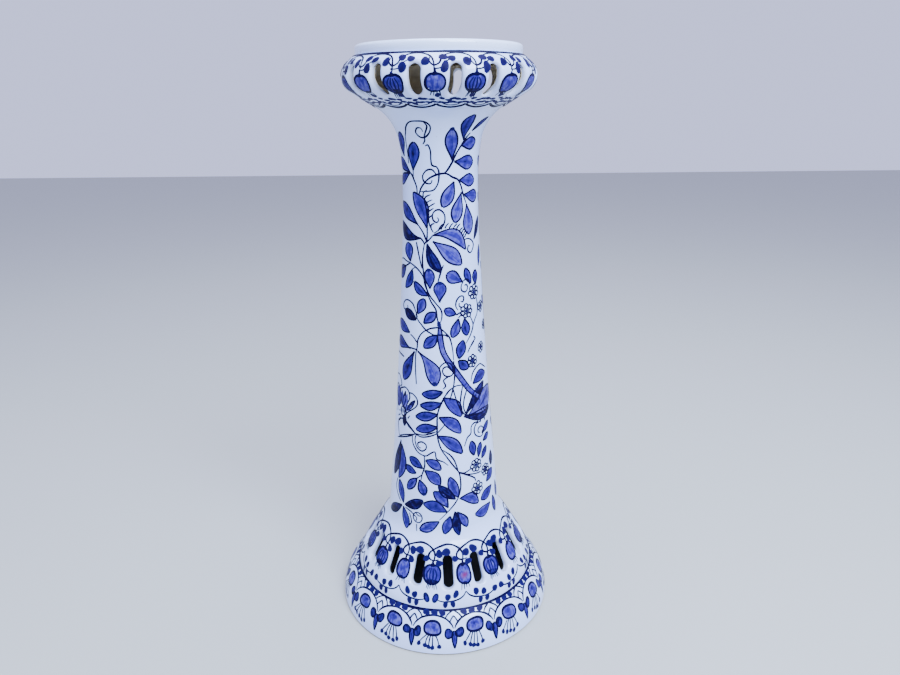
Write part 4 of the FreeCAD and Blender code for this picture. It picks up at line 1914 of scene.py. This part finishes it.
        brush.stems([
            [(46, 296), (44, 293), (38, 293), (34, 289), (33, 280), (28, 275), (24, 264)],
            [(50, 296), (48, 292), (41, 290), (38, 283), (40, 275), (47, 270), (52, 272), (54, 278),
             (50, 284), (45, 283), (44, 278), (47, 276)]], self.tendril)

    def lower_left(self, brush: Brush) -> None:
        """Long leaves, a spray of six leaves and a cross of leaves, low on the left."""
        brush.leaves([
            ((-57, 262), (-70, 203), 15, DARK, 0.04), ((-55, 257), (-58, 204), 14, MID, 0.08),
            ((-23, 233), (-41, 244), 13, DEEP, 0), ((-20, 246), (-3, 234), 13.5, MID, 0.08),
            ((-31, 224), (-47, 229), 10.5, DEEP, 0), ((-21, 231), (-4, 212), 15.5, MID, 0.1),
            ((-30, 217), (-42, 196), 11.5, MID, 0), ((-27, 216), (-21, 194), 13, MID, 0),
            ((-45, 171), (-22, 186), 14, DARK, -0.05), ((-49, 168), (-74, 145), 13, DARK, 0),
            ((-47, 172), (-56, 203), 13, MID, 0), ((-47, 167), (-40, 138), 12.5, MID, 0)], 0.56, 0.5)
        brush.dot((-21.5, 196), 4.0, 3.4)
        brush.stems([
            [(-22, 253), (-21, 240), (-22, 232), (-24, 224), (-25, 216)],
            [(-24, 224), (-28, 219), (-31, 216)], [(-60, 203), (-62, 190), (-58, 180), (-52, 172)],
            [(-38, 162), (-35, 150), (-38, 142)], [(-29, 149), (-28, 139)],
            [(-44, 167), (-37, 165), (-33, 162)]], 1.45)
        brush.stems([
            [(-38, 279), (-37, 267), (-33, 259), (-28, 254), (-20, 252), (-14, 257), (-9.5, 259),
             (-8, 250), (-4, 247), (0, 245), (5, 240)],
            [(-32, 281), (-34, 272), (-31, 262), (-25, 258), (-20, 262), (-20, 268), (-25, 271),
             (-30, 268), (-29, 263), (-26, 262)]], self.tendril)
        brush.ring((-28, 159), 7.0, 7.6, 1.4)
        brush.stroke([(-33, 162), (-29, 158), (-30, 152)], 1.1)
        brush.stroke([(-31, 166), (-27, 162), (-23, 163)], 1.1)

    def lower_right(self, brush: Brush) -> None:
        """Main stem with its star of leaves and the low flowers on the right."""
        brush.leaves([
            ((15, 192), (6, 223), 14, MID, 0), ((12, 190), (-6, 211), 12.5, DARK, 0),
            ((4, 178), (-11, 202), 14.5, MID, -0.1), ((16, 190), (38, 176), 15, MID, 0.15),
            ((3, 172), (-22, 182), 15.5, DEEP, -0.1), ((-5, 158), (-25, 142), 14, MID, 0),
            ((6, 166), (0, 140), 13, MID, 0), ((11, 172), (14, 137), 11, DARK, 0),
            ((13, 171), (23, 146), 10.5, MID, 0.08), ((36, 247), (33, 269), 11, DEEP, 0),
            ((42, 242), (47, 262), 8.5, DEEP, 0), ((47, 238), (57, 252), 9, DEEP, 0),
            ((51, 262), (64, 268), 9, DEEP, 0), ((50, 274), (66, 285), 9, DEEP, 0),
            ((66, 240), (66, 218), 11, DARK, 0), ((52, 200), (67, 212), 14, DEEP, 0),
            ((62, 189), (42, 178), 15, DEEP, 0), ((56, 166), (33, 160), 15.5, MID, 0.1),
            ((62, 172), (66, 145), 10, DEEP, 0), ((73, 188), (74, 163), 9, DEEP, 0)], 0.56, 0.5)
        for centre, size, petals in (((38, 232), 9.5, 7), ((52, 219), 8.5, 7), ((38, 198), 9.5, 7)):
            brush.bloom(centre, size, petals)
        brush.stems([
            [(-6, 285), (-6, 278), (-4, 268), (-1, 260), (4, 251), (10, 240), (14, 233), (17, 226),
             (18, 212), (17, 200), (14, 190), (10, 182), (4, 173), (-5, 160)],
            [(-1, 262), (6, 256), (11, 248), (14, 238), (16, 229)],
            [(16, 229), (22, 226), (28, 228), (32, 230)],
            [(16, 228), (26, 223), (38, 220), (44, 220)],
            [(22, 224), (30, 219), (35, 214), (36, 209)]], 1.5)

    def edge_vine(self, brush: Brush) -> None:
        """Thin vine that climbs where front and back meet, seen from the side."""
        path = [(90 + 6 * math.sin(height / 26), height) for height in range(170, 671, 10)]
        brush.stroke(path, 1.4, (0.6, 0.5))
        for number, height in enumerate(range(182, 662, 22)):
            place = (90 + 6 * math.sin(height / 26), height)
            way = 1 if number % 2 else -1
            brush.leaf(place, brush.moved(place, (way * 9.5, 13.0)), 8.5, 0.0,
                       DEEP if number % 3 else MID, 1.25)
            if number % 4 == 2:
                brush.curl(brush.moved(place, (-way * 9.0, 6.0)), 90 - way * 90,
                           way * 1.3, 5.0, 1.2, 1.25)


def main() -> None:
    """Builds the stand, paints it and sets the studio."""
    logging.basicConfig(level=logging.INFO, format="%(message)s")
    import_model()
    draws = random.Random(7)
    studio = Studio()
    studio.set_camera()
    studio.lay_floor()
    studio.light()
    palette = make_palette()
    stand = Stand()
    stand.build_skirt(palette)
    stand.build_dome(palette, draws)
    stand.build_shaft(palette)
    stand.build_gallery(palette, draws)
    stand.build_seat(palette)
    FootPainting(stand).paint(draws, palette)
    DomePainting(stand).paint(draws, palette)
    GalleryPainting(stand).paint(draws, palette)
    ShaftPainting(stand).paint(draws, palette)


if __name__ == "__main__":
    main()
